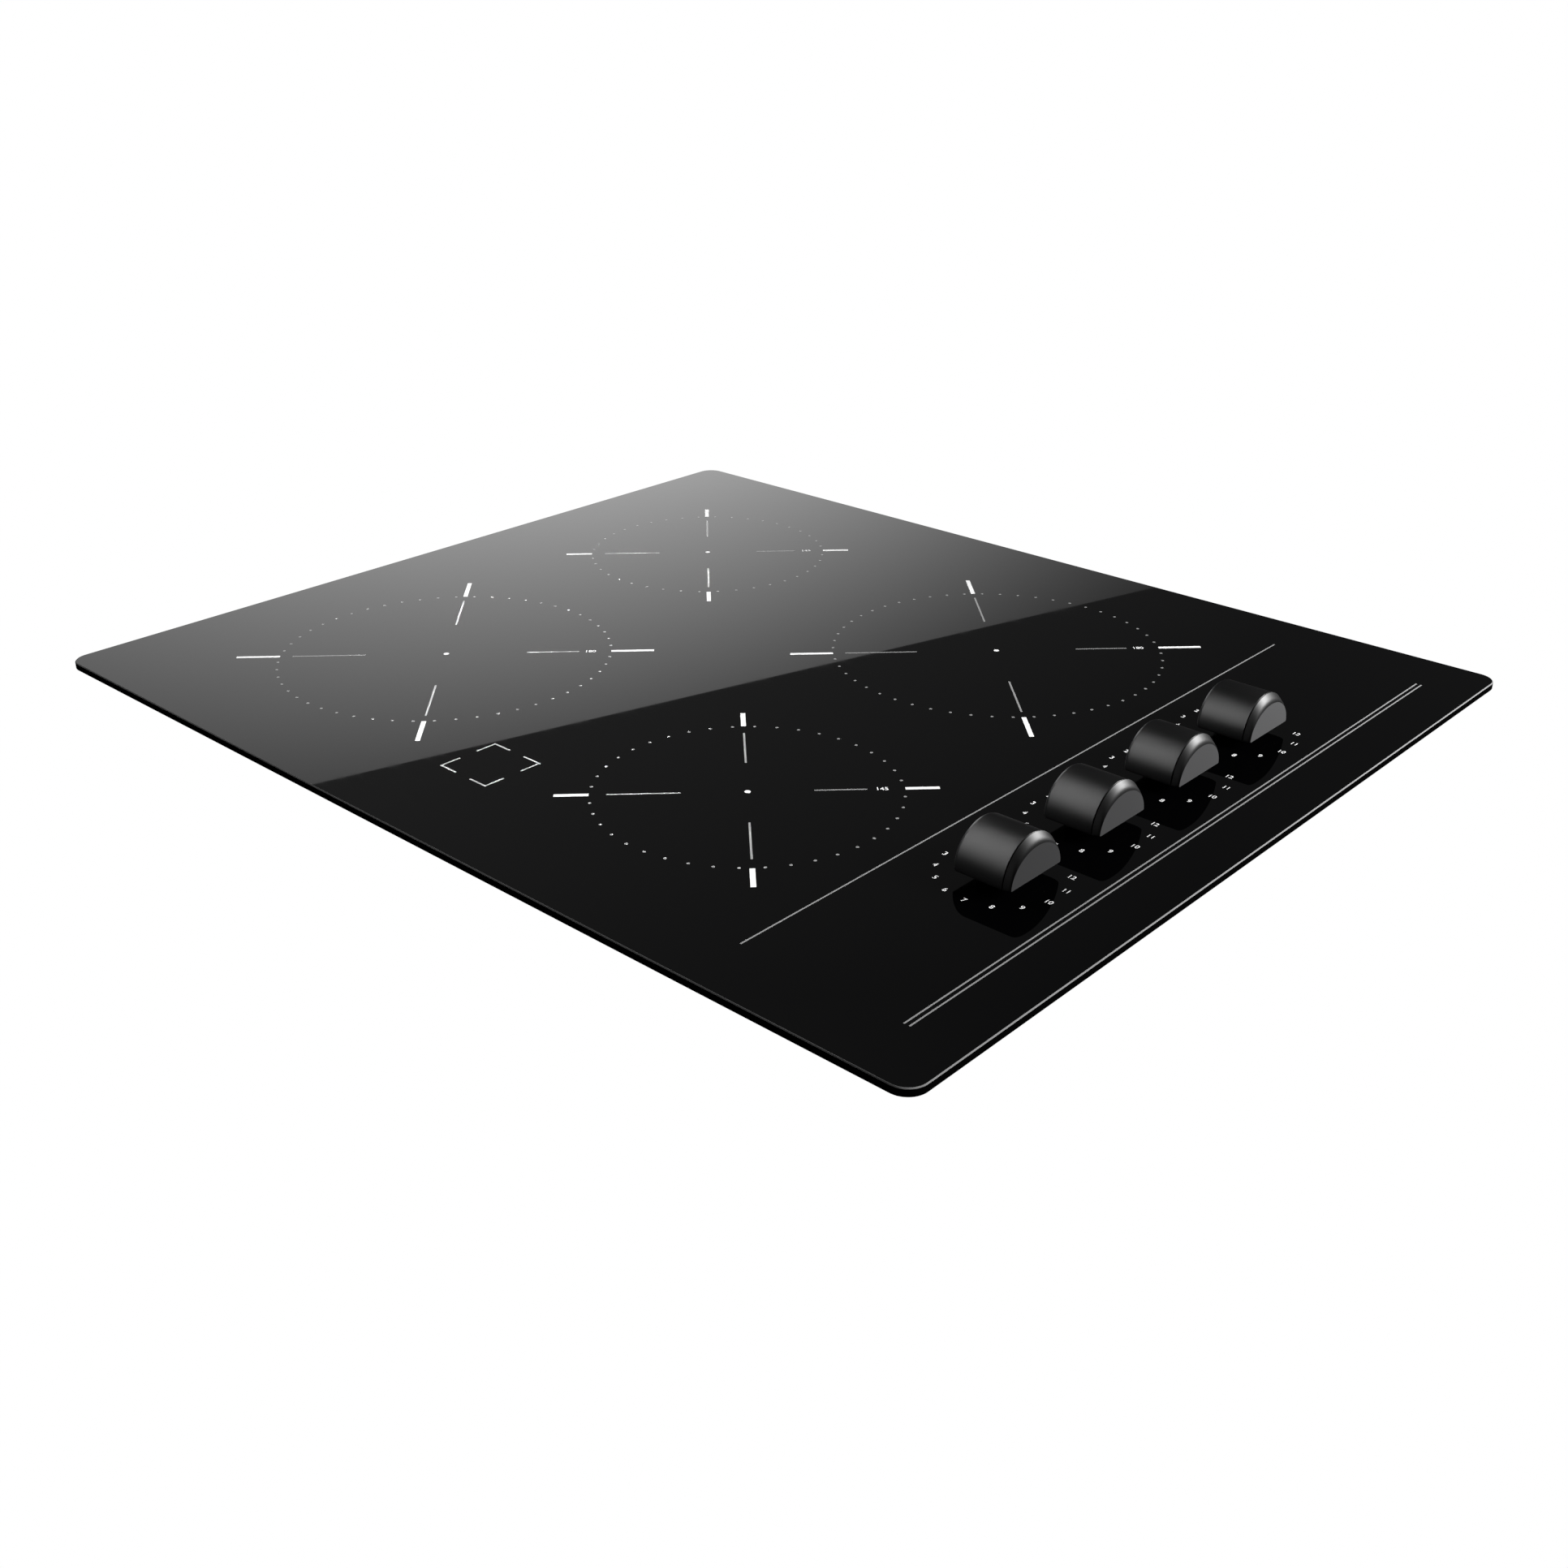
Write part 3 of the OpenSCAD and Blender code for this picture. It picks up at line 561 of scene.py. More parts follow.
def fibre_mat(name, colour):
    """Pressed mineral fibres, laid both ways, with darker flecks."""
    mat, tree, shader = look(name)
    across = tree.noise(500.0, detail=4.0, stretch=(1, 9, 1))
    along = tree.noise(500.0, detail=4.0, stretch=(9, 1, 1), turn=(0, 0, 0.6))
    weave = tree.math("MULTIPLY", across, along)
    pale = tree.span(weave, 0.0, 1.0, from_low=0.15, from_high=0.4)
    base = tree.blend(pale, shade(colour, 0.75), shade(colour, 1.1))
    fleck = tree.span(tree.cells(260.0), 1.0, 0.0, from_low=0.02, from_high=0.12)
    tree.link(tree.blend(fleck, base, shade(colour, 0.45)), shader.inputs["Base Color"])
    tree.link(tree.span(weave, 0.75, 0.95), shader.inputs["Roughness"])
    tree.link(tree.bump(weave, 0.2 * MM, strength=0.8), shader.inputs["Normal"])
    return mat


def circuit_board(name, colour, top_z):
    """Green solder mask over copper runs, with tinned pads, and black parts above the board."""
    mat, tree, shader = look(name, coat=0.3)
    edges = tree.cells(130.0, "DISTANCE_TO_EDGE")
    runs = tree.span(edges, 1.0, 0.0, from_low=0.05, from_high=0.09)
    mask = tree.blend(runs, colour, shade(colour, 1.9))
    dots = tree.span(tree.cells(230.0), 1.0, 0.0, from_low=0.16, from_high=0.20)
    face = tree.blend(dots, mask, (0.62, 0.60, 0.55))
    above = tree.math("GREATER_THAN", tree.axis("Z"), top_z + 0.2 * MM)
    grain = tree.noise(900.0)
    part = tree.blend(grain, (0.018, 0.018, 0.02), (0.04, 0.04, 0.042))
    tree.link(tree.blend(above, face, part), shader.inputs["Base Color"])
    tree.link(tree.span(grain, 0.28, 0.5), shader.inputs["Roughness"])
    pads = tree.math("SUBTRACT", 1.0, above)
    tree.link(tree.math("MULTIPLY", dots, pads), shader.inputs["Metallic"])
    height = tree.math("MULTIPLY_ADD", grain, 0.1, runs)
    tree.link(tree.bump(height, 0.04 * MM, strength=0.6), shader.inputs["Normal"])
    return mat


def sleeved_can(name, colour, top_z):
    """Capacitor cans in a shrink sleeve with a pale stripe, and bare metal on top."""
    mat, tree, shader = look(name, coat=0.2)
    wrinkle = tree.noise(350.0, detail=4.0, stretch=(1, 1, 0.2))
    sleeve = tree.blend(wrinkle, shade(colour, 0.7), shade(colour, 1.3))
    patch = tree.noise(55.0, detail=0.0, stretch=(1, 1, 0))
    stripe = tree.span(patch, 0.0, 1.0, from_low=0.66, from_high=0.68)
    sleeve = tree.blend(stripe, sleeve, (0.45, 0.47, 0.5))
    lid = tree.math("GREATER_THAN", tree.axis("Z"), top_z - 0.3 * MM)
    tree.link(tree.blend(lid, sleeve, (0.72, 0.73, 0.74)), shader.inputs["Base Color"])
    tree.link(lid, shader.inputs["Metallic"])
    tree.link(tree.span(wrinkle, 0.25, 0.42), shader.inputs["Roughness"])
    tree.link(tree.bump(wrinkle, 0.05 * MM, strength=0.5), shader.inputs["Normal"])
    return mat


def wound_copper(name, colour):
    """Enamelled strands with a slanting twist. The gaps between strands are painted shade, far darker than
    the strands' tops.
    """
    mat, tree, shader = look(name, metallic=1.0, coat=0.4)
    twist = tree.noise(420.0, detail=2.0, stretch=(1, 1, 3), turn=(0.4, 0.6, 0.2))
    edges = tree.cells(700.0, "DISTANCE_TO_EDGE")
    crown_and_gap_shade = tree.span(edges, 0.0, 1.0, from_low=0.02, from_high=0.16)
    base = tree.blend(twist, shade(colour, 0.7), shade(colour, 1.35))
    # Painted shade: the colour falls to a quarter in the gaps between strands.
    tree.link(tree.blend(crown_and_gap_shade, shade(colour, 0.25), base), shader.inputs["Base Color"])
    tree.link(tree.span(twist, 0.22, 0.42), shader.inputs["Roughness"])
    height = tree.math("MULTIPLY_ADD", twist, 0.5, crown_and_gap_shade)
    tree.link(tree.bump(height, 0.15 * MM, strength=0.8), shader.inputs["Normal"])
    return mat


def sintered(name, colour, roughness=0.7):
    """Pressed and fired powder, with a speckle of lighter grains."""
    mat, tree, shader = look(name)
    grain = tree.noise(1500.0, detail=5.0)
    speck = tree.span(tree.cells(900.0), 1.0, 0.0, from_low=0.05, from_high=0.2)
    base = tree.blend(grain, shade(colour, 0.75), shade(colour, 1.15))
    tree.link(tree.blend(speck, base, shade(colour, 1.4)), shader.inputs["Base Color"])
    tree.link(tree.span(grain, roughness - 0.12, roughness + 0.12), shader.inputs["Roughness"])
    tree.link(tree.bump(grain, 0.03 * MM, strength=0.7), shader.inputs["Normal"])
    return mat


BOARD_GREEN = (0.012, 0.10, 0.035)
ALONG_X, ALONG_Y, ALONG_Z = (0.04, 1, 1), (1, 0.04, 1), (0.1, 0.1, 1)


def make_looks():
    """Every material by name: one for each slot, and those of a slot's other surfaces."""
    power_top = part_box("heatsink_left")[0].z
    indicator_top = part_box("light_guide")[0].z
    can_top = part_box("capacitors")[1].z
    return {
        "glass_black": black_glass("glass_black"),
        "foam_black": foam("foam_black", (0.02, 0.02, 0.021)),
        "aluminium_rail": drawn_metal("aluminium_rail", (0.74, 0.75, 0.77), 0.34, ALONG_X),
        "steel_tray": galvanised("steel_tray", (0.60, 0.61, 0.62)),
        "steel_spring": drawn_metal("steel_spring", (0.46, 0.47, 0.49), 0.32, ALONG_Y),
        "steel_screw": drawn_metal("steel_screw", (0.62, 0.61, 0.57), 0.28, ALONG_X, 1500.0),
        "steel_spindle": drawn_metal("steel_spindle", (0.66, 0.66, 0.68), 0.25, ALONG_Z),
        "aluminium_sheet": drawn_metal("aluminium_sheet", (0.76, 0.77, 0.78), 0.38, ALONG_Y),
        "aluminium_heatsink": drawn_metal("aluminium_heatsink", (0.70, 0.71, 0.73), 0.42, ALONG_Y),
        "plastic_white": moulded("plastic_white", (0.72, 0.72, 0.68), 0.45, tone=0.05),
        "plastic_cream": moulded("plastic_cream", (0.66, 0.62, 0.52), 0.55, tone=0.06),
        "plastic_black": moulded("plastic_black", (0.022, 0.022, 0.023), 0.48),
        "fan_rotor_grey": moulded("fan_rotor_grey", (0.05, 0.05, 0.053), 0.45),
        "mica_mat": fibre_mat("mica_mat", (0.66, 0.62, 0.52)),
        "ceramic_white": sintered("ceramic_white", (0.80, 0.80, 0.76), 0.6),
        "board_green": circuit_board("board_green", BOARD_GREEN, power_top),
        "board_green_small": circuit_board("board_green_small", BOARD_GREEN, indicator_top),
        "capacitor_blue": sleeved_can("capacitor_blue", (0.02, 0.035, 0.12), can_top),
        "copper_winding": wound_copper("copper_winding", (0.62, 0.26, 0.11)),
        "ferrite_dark": sintered("ferrite_dark", (0.035, 0.035, 0.038)),
        "rubber_black": moulded("rubber_black", (0.012, 0.012, 0.012), 0.62, grain=0.01 * MM),
        "light_guide_clear": moulded("light_guide_clear", (0.70, 0.70, 0.68), 0.3, tone=0.03),
        "selector_blue": moulded("selector_blue", (0.04, 0.08, 0.18), 0.45),
        # The grip's black plastic has a base colour about ten times below the plastic's own. This is
        # painted shade, which keeps its unlit sides as deep as the shade on the grip.
        "knob_black": moulded(
            "knob_black", (0.0022, 0.0022, 0.0023), 0.36,
            grain=0.004 * MM, grain_scale=3500.0, specular=0.38,
        ),
        # The rim is a darker, glossier copy of the grip's plastic: painted shade on its sides, with a
        # brighter highlight on its top.
        "knob_rim": moulded(
            "knob_rim", (0.002, 0.002, 0.0021), 0.43,
            grain=0.004 * MM, grain_scale=3500.0, specular=0.60,
        ),
        "knob_face_grey": moulded(
            "knob_face_grey", (0.125, 0.125, 0.127), 0.72,
            grain=0.006 * MM, grain_scale=3000.0, tone=0.06, specular=0.0,
        ),
        "print_white": enamel("print_white", (0.62, 0.62, 0.62), 0.35, 0.55),
        "print_grey": enamel("print_grey", (0.19, 0.19, 0.19), 0.08, 0.20),
        "glass_edge": worked_edge("glass_edge", 0.0005, 0.0015, 0.30),
        # The bevel is a far paler copy of the upright edge's material. It is partly the ground glass's own
        # grey and mostly a painted highlight, which the edge lamp turns into a bright line.
        "glass_bevel": worked_edge("glass_bevel", 0.12, 0.18, 0.45),
    }


# ---- mesh helpers ----

SHARP_BEND = math.radians(38)


def finish_mesh(bm, name, materials):
    """Makes a mesh in which flat faces and sharp bends have a hard line."""
    bmesh.ops.recalc_face_normals(bm, faces=bm.faces)
    for edge in bm.edges:
        bend = edge.calc_face_angle(0.0)
        edge.smooth = bend < SHARP_BEND and all(face.smooth for face in edge.link_faces)
    mesh = bpy.data.meshes.new(name)
    bm.to_mesh(mesh)
    bm.free()
    for mat in materials:
        mesh.materials.append(mat)
    return mesh


def add_ring(bm, points):
    return [bm.verts.new(p) for p in points]


def bridge(bm, first, second, slot=0, smooth=True):
    """Quads between two closed rings with the same number of points."""
    count = len(first)
    for i in range(count):
        j = (i + 1) % count
        face = bm.faces.new((first[i], first[j], second[j], second[i]))
        face.smooth = smooth
        face.material_index = slot


def add_cap(bm, ring):
    face = bm.faces.new(ring)
    face.smooth = False
    return face


def circle_points(x, y, z, radius, count):
    step = 2 * math.pi / count
    return [(x + radius * math.cos(i * step), y + radius * math.sin(i * step), z) for i in range(count)]


def arc(centre, radius, start, end, steps):
    """Points on an arc in a plane. Angles are in degrees."""
    turns = [math.radians(start + (end - start) * i / steps) for i in range(steps + 1)]
    return [(centre[0] + radius * math.cos(t), centre[1] + radius * math.sin(t)) for t in turns]


# ---- the glass plate ----

# The plate's lower edge is broken by a small arris, bent once, and its upper edge by the bevel.
GLASS_CORNER = 10 * MM
GLASS_BEVEL = 0.5 * MM
BEVEL_ANGLE = 45.0
GLASS_ARRIS = 0.3 * MM
ARRIS_SHARE = 0.3
EDGE_ROUND = 0.15 * MM
SHAFT_HOLE = 6 * MM
HOLE_STEPS = 48
OUTLINE_STEPS = 16
ROUND_STEPS = 4
ARRIS_POINTS = 3
BEVEL_START = ARRIS_POINTS + ROUND_STEPS
GLASS_SLOT, EDGE_SLOT, BEVEL_SLOT = 0, 1, 2


def rounded_outline(low, high, radius, inset):
    """A rounded rectangle, drawn inset from the box between two corners."""
    points = []
    r = radius - inset
    corners = ((high.x, high.y, 0), (low.x, high.y, 90), (low.x, low.y, 180), (high.x, low.y, 270))
    for x, y, start in corners:
        cx = x - math.copysign(radius, x - GLASS_MIDDLE.x)
        cy = y - math.copysign(radius, y - GLASS_MIDDLE.y)
        points += arc((cx, cy), r, start, start + 90, OUTLINE_STEPS)
    return points


def glass_profile():
    """(inset, height) up the rim: a small arris, the upright edge, then the softened bevel."""
    thick = GLASS_HIGH.z - GLASS_LOW.z
    slope = math.radians(BEVEL_ANGLE)
    reach = EDGE_ROUND * math.tan(slope / 2)
    middle = GLASS_ARRIS * ARRIS_SHARE
    arris = [(GLASS_ARRIS, 0.0), (middle, middle), (0.0, GLASS_ARRIS)]
    lower = thick - GLASS_BEVEL - reach
    lower_round = [(EDGE_ROUND - x, lower + z) for x, z in edge_arc(0, BEVEL_ANGLE)]
    bevel_end = (GLASS_BEVEL - reach * math.cos(slope), thick - reach * math.sin(slope))
    bend_x, bend_z = GLASS_BEVEL + reach, thick - EDGE_ROUND
    upper_round = [(bend_x - x, bend_z + z) for x, z in edge_arc(BEVEL_ANGLE, 90)]
    return arris + lower_round + [bevel_end] + upper_round[1:]


def edge_arc(start, end):
    return arc((0, 0), EDGE_ROUND, start, end, ROUND_STEPS)


def glass_ring(bm, inset, height):
    outline = rounded_outline(GLASS_LOW, GLASS_HIGH, GLASS_CORNER, inset)
    return add_ring(bm, [(x, y, GLASS_LOW.z + height) for x, y in outline])


def fill_between(bm, rings):
    """A flat face of the plate, with a hole for each ring after the first."""
    edges = [bm.edges.get((ring[i], ring[i - 1])) for ring in rings for i in range(len(ring))]
    made = bmesh.ops.triangle_fill(bm, use_beauty=True, edges=edges)
    for face in made["geom"]:
        if isinstance(face, bmesh.types.BMFace):
            face.smooth = False
            face.material_index = GLASS_SLOT


def make_glass(looks):
    """The plate with its ground edge, its bevel and a hole for each knob's spindle."""
    bm = bmesh.new()
    rings = [glass_ring(bm, inset, height) for inset, height in glass_profile()]
    for i, (first, second) in enumerate(zip(rings, rings[1:])):
        bridge(bm, first, second, BEVEL_SLOT if i >= BEVEL_START else EDGE_SLOT)
    underside, top = [rings[0]], [rings[-1]]
    for number in KNOBS:
        at = knob_centre(number)
        low = add_ring(bm, circle_points(at.x, at.y, GLASS_LOW.z, SHAFT_HOLE, HOLE_STEPS))
        high = add_ring(bm, circle_points(at.x, at.y, GLASS_HIGH.z, SHAFT_HOLE, HOLE_STEPS))
        bridge(bm, low, high, EDGE_SLOT)
        underside.append(low)
        top.append(high)
    fill_between(bm, underside)
    fill_between(bm, top)
    mesh = finish_mesh(bm, "glass_plate", [looks[k] for k in ("glass_black", "glass_edge", "glass_bevel")])
    glass = add_object("glass_plate", mesh)
    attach(glass, "hob")
    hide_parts("glass_top")
    return glass


# ---- the knobs ----

ARC_STEPS = 56
CORNER_STEPS = 4
BASE_STEPS = 14
GRIP_CORNER = 0.6 * MM
TAIL_ROUND = 2.2 * MM
TAIL_STEPS = 7
LIP_ROUND = 0.35 * MM
LIP_STEPS = 4

# The round skirt under the grip, and how far its top goes up into the grip.
SKIRT_BORE = 3.05 * MM
SKIRT_RADIUS = 11.0 * MM
SKIRT_FOOT = 10.2 * MM
SKIRT_SLOPE = 0.8 * MM
SKIRT_OVERLAP = 0.4 * MM
SKIRT_STEPS = 64

# The cap narrows by ROLL_SIDE and ROLL_TOP. Most of that is a slope, and the rest a sharp turn at
# the end of it.
NECK_INSET = 1.0 * MM
NECK_LENGTH = 0.45 * MM
ROLL_SIDE = 1.6 * MM
ROLL_TOP = 4.5 * MM
ROLL_SLOPE = 0.8
ROLL_TURN = 0.2
TURN_POWER = 8
ROLL_STEPS = 14
FACE_SLOT = 1

# The pointer follows the grip's outline between two angles, in degrees up from the base.
POINTER_HALF = 0.7 * MM
POINTER_PROUD = 0.06 * MM
POINTER_SUNK = 0.2 * MM
POINTER_FROM, POINTER_TO = 12, 50
POINTER_STEPS = 20


def half_round_ring(width, height, base, corner):
    """(y, z) round a half ellipse on a flat base, with its two bottom corners rounded."""
    start = math.asin(corner / height)
    sweep = math.pi - 2 * start
    top = [start + sweep * i / ARC_STEPS for i in range(ARC_STEPS + 1)]
    points = [(width * math.cos(t), base + height * math.sin(t)) for t in top]
    side = width * math.cos(start) - corner
    quarter = [math.pi / 2 * i / CORNER_STEPS for i in range(1, CORNER_STEPS + 1)]
    left = [(-side - corner * math.cos(t), base + corner - corner * math.sin(t)) for t in quarter]
    flat = [(-side + 2 * side * i / BASE_STEPS, base) for i in range(1, BASE_STEPS)]
    right = [(-y, z) for y, z in reversed(left)]
    return points + left + flat + right


def loft(bm, stations):
    """A closed solid through stations of (x, width, height, base). Returns its last face."""
    rings = []
    for x, width, height, base in stations:
        ring = half_round_ring(width, height, base, GRIP_CORNER)
        rings.append(add_ring(bm, [(x, y, z) for y, z in ring]))
    for first, second in zip(rings, rings[1:]):
        bridge(bm, first, second)
    add_cap(bm, rings[0])
    return add_cap(bm, rings[-1])


def lathe(bm, profile):
    """A ring turned about the Z axis from (radius, z)."""
    rings = [add_ring(bm, circle_points(0, 0, z, radius, SKIRT_STEPS)) for radius, z in profile]
    for first, second in zip(rings, rings[1:] + rings[:1]):
        bridge(bm, first, second, smooth=False)


def inset_station(x, size, inset):
    """A station of the grip, drawn in by the same amount all round."""
    width, height, base = size
    return (x, width - inset, height - 2 * inset, base + inset)


def quarter_turn(steps):
    return [math.pi / 2 * i / steps for i in range(steps + 1)]


def knob_sizes():
    """Grip and cap measures from the CAD, about knob 1's axis and the glass top."""
    at = knob_centre(1)
    low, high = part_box("knob_1_grip")
    cap_low, cap_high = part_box("knob_1_cap")
    return {
        "tail": low.x - at.x,
        "split": cap_low.x - at.x,
        "face": cap_high.x - at.x,
        "width": (high.y - low.y) / 2,
        "base": cap_low.z - at.z,
        "height": high.z - cap_low.z,
        "skirt": low.z - at.z,
    }


def make_grip_mesh(looks):
    """The half-round grip with its rounded tail and lip, and the skirt that it stands on."""
    s = knob_sizes()
    size = (s["width"], s["height"], s["base"])
    bm = bmesh.new()
    stations = []
    for t in quarter_turn(TAIL_STEPS):
        inset = TAIL_ROUND * (1 - math.sin(t))
        stations.append(inset_station(s["tail"] + TAIL_ROUND * (1 - math.cos(t)), size, inset))
    for t in quarter_turn(LIP_STEPS):
        x = s["split"] - LIP_ROUND + LIP_ROUND * math.sin(t)
        stations.append(inset_station(x, size, LIP_ROUND * (1 - math.cos(t))))
    loft(bm, stations)
    foot, top = s["skirt"], s["base"] + SKIRT_OVERLAP
    outside = [(SKIRT_FOOT, foot), (SKIRT_RADIUS, foot + SKIRT_SLOPE), (SKIRT_RADIUS, top)]
    lathe(bm, [(SKIRT_BORE, foot)] + outside + [(SKIRT_BORE, top)])
    return finish_mesh(bm, "knob_grip", [looks["knob_black"]])


def make_face_mesh(looks):
    """The cap: a neck that leaves a shadow line, then a flange that rolls over to the flat face."""
    s = knob_sizes()
    width, height, base = s["width"], s["height"], s["base"]
    neck = (width, height, base)
    flange = s["split"] + NECK_LENGTH
    bm = bmesh.new()
    stations = [inset_station(s["split"], neck, NECK_INSET), inset_station(flange, neck, NECK_INSET)]
    for i in range(ROLL_STEPS + 1):
        u = i / ROLL_STEPS
        drop = ROLL_SLOPE * u + ROLL_TURN * u ** TURN_POWER
        x = flange + (s["face"] - flange) * u
        stations.append((x, width - ROLL_SIDE * drop, height - ROLL_TOP * drop, base))
    flat = loft(bm, stations)
    flat.material_index = FACE_SLOT
    return finish_mesh(bm, "knob_face", [looks["knob_rim"], looks["knob_face_grey"]])


def make_pointer_mesh(looks):
    """A white line let into the far flank of the grip, which points at a figure on the dial."""
    s = knob_sizes()
    low = [(-POINTER_HALF, -POINTER_SUNK), (POINTER_HALF, -POINTER_SUNK)]
    high = [(POINTER_HALF, POINTER_PROUD), (-POINTER_HALF, POINTER_PROUD)]
    rings = []
    bm = bmesh.new()
    for i in range(POINTER_STEPS + 1):
        turn = math.radians(POINTER_FROM + (POINTER_TO - POINTER_FROM) * i / POINTER_STEPS)
        ring = []
        for x, out in low + high:
            y = (s["width"] + out) * math.cos(turn)
            z = s["base"] + (s["height"] + out) * math.sin(turn)
            ring.append((x, y, z))
        rings.append(add_ring(bm, ring))
    for first, second in zip(rings, rings[1:]):
        bridge(bm, first, second, smooth=False)
    add_cap(bm, rings[0])
    add_cap(bm, rings[-1])
    return finish_mesh(bm, "knob_pointer", [looks["print_white"]])


def make_knobs(looks):
    """Each knob is a body, a face and a pointer. The first two stand for the grip and the cap."""
    kinds = (
        (make_grip_mesh(looks), "body", "knob_black", "grip"),
        (make_face_mesh(looks), "face", "knob_face_grey", "cap"),
        (make_pointer_mesh(looks), "pointer", "print_white", None),
    )
    pieces = []
    for number in KNOBS:
        for mesh, part, slot, node in kinds:
            piece = add_object(f"knob_{number}_{part}", mesh)
            piece.location = knob_centre(number)
            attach(piece, f"knob_{number}")
            pieces.append(piece)
            if node:
                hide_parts(f"knob_{number}_{node}")
    return pieces


# ---- prints on the glass ----

INK_UP = 0.05 * MM
INK_DOWN = 0.02 * MM
DOT_STEPS = 20


def ink(bm, outline):
    """One closed, very thin patch of ink with this outline."""
    low = add_ring(bm, [(x, y, TOP_Z - INK_DOWN) for x, y in outline])
    high = add_ring(bm, [(x, y, TOP_Z + INK_UP) for x, y in outline])
    bridge(bm, low, high, smooth=False)
    add_cap(bm, high)
    add_cap(bm, list(reversed(low)))


def ink_dot(bm, centre, radius, count=DOT_STEPS):
    ink(bm, [(x, y) for x, y, _ in circle_points(centre.x, centre.y, 0, radius, count)])


def ink_bar(bm, start, end, width):
    """A straight bar of ink between two points."""
    a, b = Vector(start), Vector(end)
    side = (b - a).normalized().orthogonal() * width / 2
    ink(bm, [tuple(a - side), tuple(b - side), tuple(b + side), tuple(a + side)])


def add_print(bm, name, looks, slot):
    piece = add_object(name, finish_mesh(bm, name, [looks[slot]]))
    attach(piece, "hob")
    return piece


def polar(centre, radius, degrees):
    turn = math.radians(degrees)
    return Vector((centre.x + radius * math.cos(turn), centre.y + radius * math.sin(turn)))


def ink_arm(bm, centre, degrees, near, far, width):
    """A bar that points away from the centre, between two distances from it."""
    ink_bar(bm, polar(centre, near, degrees), polar(centre, far, degrees), width)


# A font's size is SIZE_PER_HEIGHT times the height of its figures.
FIGURE_HEIGHT = 3.0 * MM
SIZE_PER_HEIGHT = 1.42
FIGURE_SIZE = FIGURE_HEIGHT * SIZE_PER_HEIGHT
FIGURE_BOLDER = 0.010 * FIGURE_SIZE
FIGURE_STEPS = 4
WELD = 0.001 * MM


def figures(name, places, looks):
    """Figures laid flat on the glass. places holds (text, place, turn in degrees)."""
    bm = bmesh.new()
    for words, spot, turn in places:
        curve = bpy.data.curves.new("figures", "FONT")
        curve.body = words
        curve.size = FIGURE_SIZE
        curve.align_x = "CENTER"
        curve.align_y = "CENTER"
        curve.extrude = (INK_UP + INK_DOWN) / 2
        curve.offset = FIGURE_BOLDER
        curve.resolution_u = FIGURE_STEPS
        obj = add_object("figures", curve)
        mesh = bpy.data.meshes.new_from_object(obj)
        middle = TOP_Z + (INK_UP - INK_DOWN) / 2
        place = Matrix.Translation((spot.x, spot.y, middle))
        mesh.transform(place @ Matrix.Rotation(math.radians(turn), 4, "Z"))
        bm.from_mesh(mesh)
        bpy.data.objects.remove(obj)
        bpy.data.curves.remove(curve)
        bpy.data.meshes.remove(mesh)
    bmesh.ops.remove_doubles(bm, verts=bm.verts, dist=WELD)
    return add_print(bm, name, looks, "print_white")


# A zone has a dotted ring, four thin arms inside it, four thick arms outside it and a centre dot.
# The thin arm at LABEL_ANGLE ends earlier, before the figures. The dots are in two even runs that
# leave a gap, in degrees, on both sides of the arm at LABEL_ANGLE and of the one opposite.
SMALL_ZONE = {
    "ring": 74.5 * MM,
    "dots": 40,
    "gap": 6.65,
    "thin_from": 31.6 * MM,
    "thin_to": 66.6 * MM,
    "thin_to_label": 56.8 * MM,
    "label_at": 63.9 * MM,
    "thick_from": 75.0 * MM,
    "thick_to": 91.4 * MM,
    "label": "145",
}
LARGE_ZONE = {
    "ring": 92.1 * MM,
    "dots": 52,
    "gap": 5.25,
    "thin_from": 45.0 * MM,
    "thin_to": 85.4 * MM,
    "thin_to_label": 74.0 * MM,
    "label_at": 80.5 * MM,
    "thick_from": 92.3 * MM,
    "thick_to": 116.3 * MM,
    "label": "180",
}

# A zone whose coil is narrower than SMALL_COIL is a small one.
SMALL_COIL = 150 * MM
LABEL_ANGLE = 45
ARM_ANGLES = (45, 135, 225, 315)
RING_DOT = 0.8 * MM
CENTRE_DOT = 1.5 * MM
CENTRE_STEPS = 24
THIN_ARM = 1.0 * MM
THICK_ARM = 2.5 * MM


def dot_angles(count, gap):
    half = count // 2
    step = (180 - 2 * gap) / (half - 1)
    starts = (LABEL_ANGLE, LABEL_ANGLE + 180)
    return [start + gap + i * step for start in starts for i in range(half)]


def make_zone_prints(looks):
    """The marks of each zone, centred on its coil."""
    prints = []
    for zone in ZONES:
        coil_low, coil_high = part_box("coil_winding_" + zone)
        middle = centre_of("coil_winding_" + zone)
        sizes = SMALL_ZONE if coil_high.x - coil_low.x < SMALL_COIL else LARGE_ZONE
        dots, thin, thick = bmesh.new(), bmesh.new(), bmesh.new()
        for angle in dot_angles(sizes["dots"], sizes["gap"]):
            ink_dot(dots, polar(middle, sizes["ring"], angle), RING_DOT)
        for angle in ARM_ANGLES:
            thin_to = sizes["thin_to_label"] if angle == LABEL_ANGLE else sizes["thin_to"]
            ink_arm(thin, middle, angle, sizes["thin_from"], thin_to, THIN_ARM)
            ink_arm(thick, middle, angle, sizes["thick_from"], sizes["thick_to"], THICK_ARM)
        ink_dot(thick, middle, CENTRE_DOT, CENTRE_STEPS)
        label = (sizes["label"], polar(middle, sizes["label_at"], LABEL_ANGLE), LABEL_ANGLE)
        prints.append(add_print(dots, f"zone_ring_{zone}", looks, "print_grey"))
        prints.append(add_print(thin, f"zone_arms_{zone}", looks, "print_grey"))
        prints.append(add_print(thick, f"zone_cross_{zone}", looks, "print_white"))
        prints.append(figures(f"zone_label_{zone}", [label], looks))
    return prints


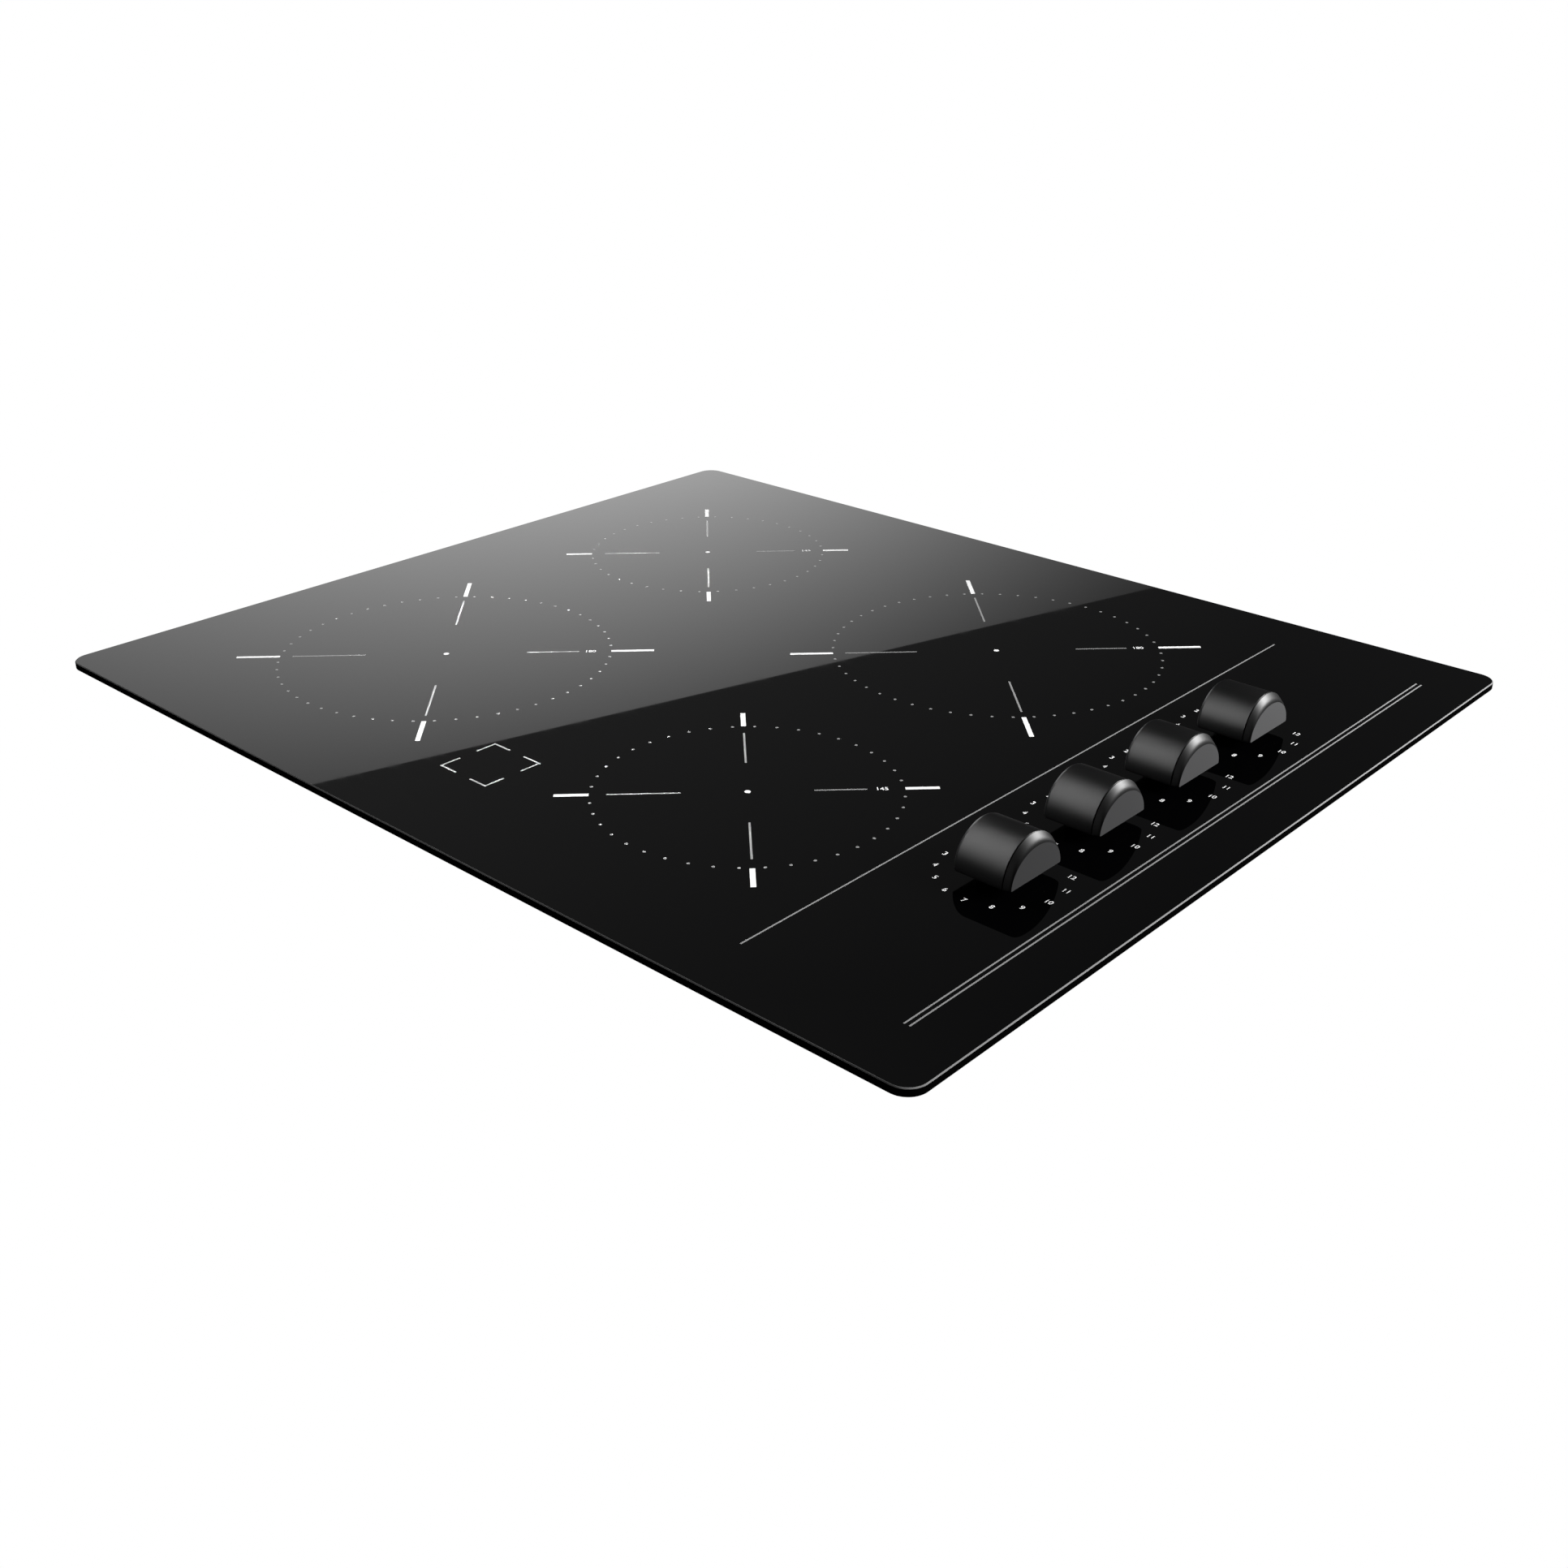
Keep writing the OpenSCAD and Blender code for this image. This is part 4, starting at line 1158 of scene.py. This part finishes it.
LINE_FRONT, LINE_BACK = -221.8 * MM, 217.8 * MM
LINE_XS = (185.4 * MM, 269.9 * MM, 272.6 * MM)
LINE_WIDTH = 0.8 * MM


def make_panel_lines(looks):
    """The long lines that set the knob column apart."""
    bm = bmesh.new()
    for x in LINE_XS:
        ink_bar(bm, (x, LINE_FRONT), (x, LINE_BACK), LINE_WIDTH)
    return add_print(bm, "panel_lines", looks, "print_grey")


BRACKET_REACH = 17.3 * MM
BRACKET_ARM = 12.0 * MM
BRACKET_LINE = 1.0 * MM


def bracket_outline(centre, side_x, side_y):
    """An L whose bend points away from the centre. The sides are -1 or 1 and say which way."""
    reach, arm, line = BRACKET_REACH, BRACKET_ARM, BRACKET_LINE
    bends = ((0, 0), (arm, 0), (arm, line), (line, line), (line, arm), (0, arm))
    return [(centre.x + side_x * (reach - u), centre.y + side_y * (reach - v)) for u, v in bends]


def make_lamp_brackets(looks):
    """Four corner brackets round the indicator lamp."""
    middle = centre_of("light_guide")
    bm = bmesh.new()
    for side_x in (-1, 1):
        for side_y in (-1, 1):
            ink(bm, bracket_outline(middle, side_x, side_y))
    return add_print(bm, "lamp_brackets", looks, "print_grey")


DIAL_RADIUS = 29.6 * MM
DIAL_OFF = 90.0
DIAL_FIRST = 140.5
CLOSE_STEP = 22.0
WIDE_STEP = 24.7
LAST_CLOSE = 7
LAST_FIGURE = 12


def dial_angle(figure):
    """0 stands apart at the back. 1 to 7 are a little closer together than 7 to 12."""
    if figure == 0:
        return DIAL_OFF
    close = min(figure, LAST_CLOSE) - 1
    wide = max(figure - LAST_CLOSE, 0)
    return DIAL_FIRST + CLOSE_STEP * close + WIDE_STEP * wide


def make_dials(looks):
    """Figures 0 to 12 round each knob, all upright."""
    prints = []
    for number in KNOBS:
        at = knob_centre(number)
        places = []
        for figure in range(LAST_FIGURE + 1):
            places.append((str(figure), polar(at, DIAL_RADIUS, dial_angle(figure)), 0))
        prints.append(figures(f"dial_figures_{number}", places, looks))
    return prints


# ---- materials on the CAD nodes ----

# Nodes whose look isn't simply their slot's.
OTHER_LOOKS = {"indicator_board": "board_green_small"}


def dress_cad(looks):
    for part in frame["record"]["subparts"]:
        node = frame["nodes"][part["node"]]
        node.data.materials.clear()
        kind = OTHER_LOOKS.get(part["node"], part["material_slot"])
        node.data.materials.append(looks[kind])


# ---- everything ----


def build_scene():
    make_camera()
    make_world()
    make_floor()
    make_backdrop()
    dome = make_glow_dome()
    card = make_card()
    print_lamp = make_print_light()
    edge_lamp = make_edge_lamp()
    knob_lamps = make_knob_lamps()
    make_under_lights()
    bpy.context.scene.view_settings.view_transform = "Standard"
    looks = make_looks()
    dress_cad(looks)
    glass = make_glass(looks)
    knobs = make_knobs(looks)
    prints = make_zone_prints(looks)
    prints += [make_panel_lines(looks), make_lamp_brackets(looks)]
    prints += make_dials(looks)
    light_only("glass_and_prints", (dome, card, print_lamp), [glass] + prints)
    light_only("knobs_and_prints", knob_lamps, knobs + prints)
    light_only("glass", (edge_lamp,), [glass])


build_scene()
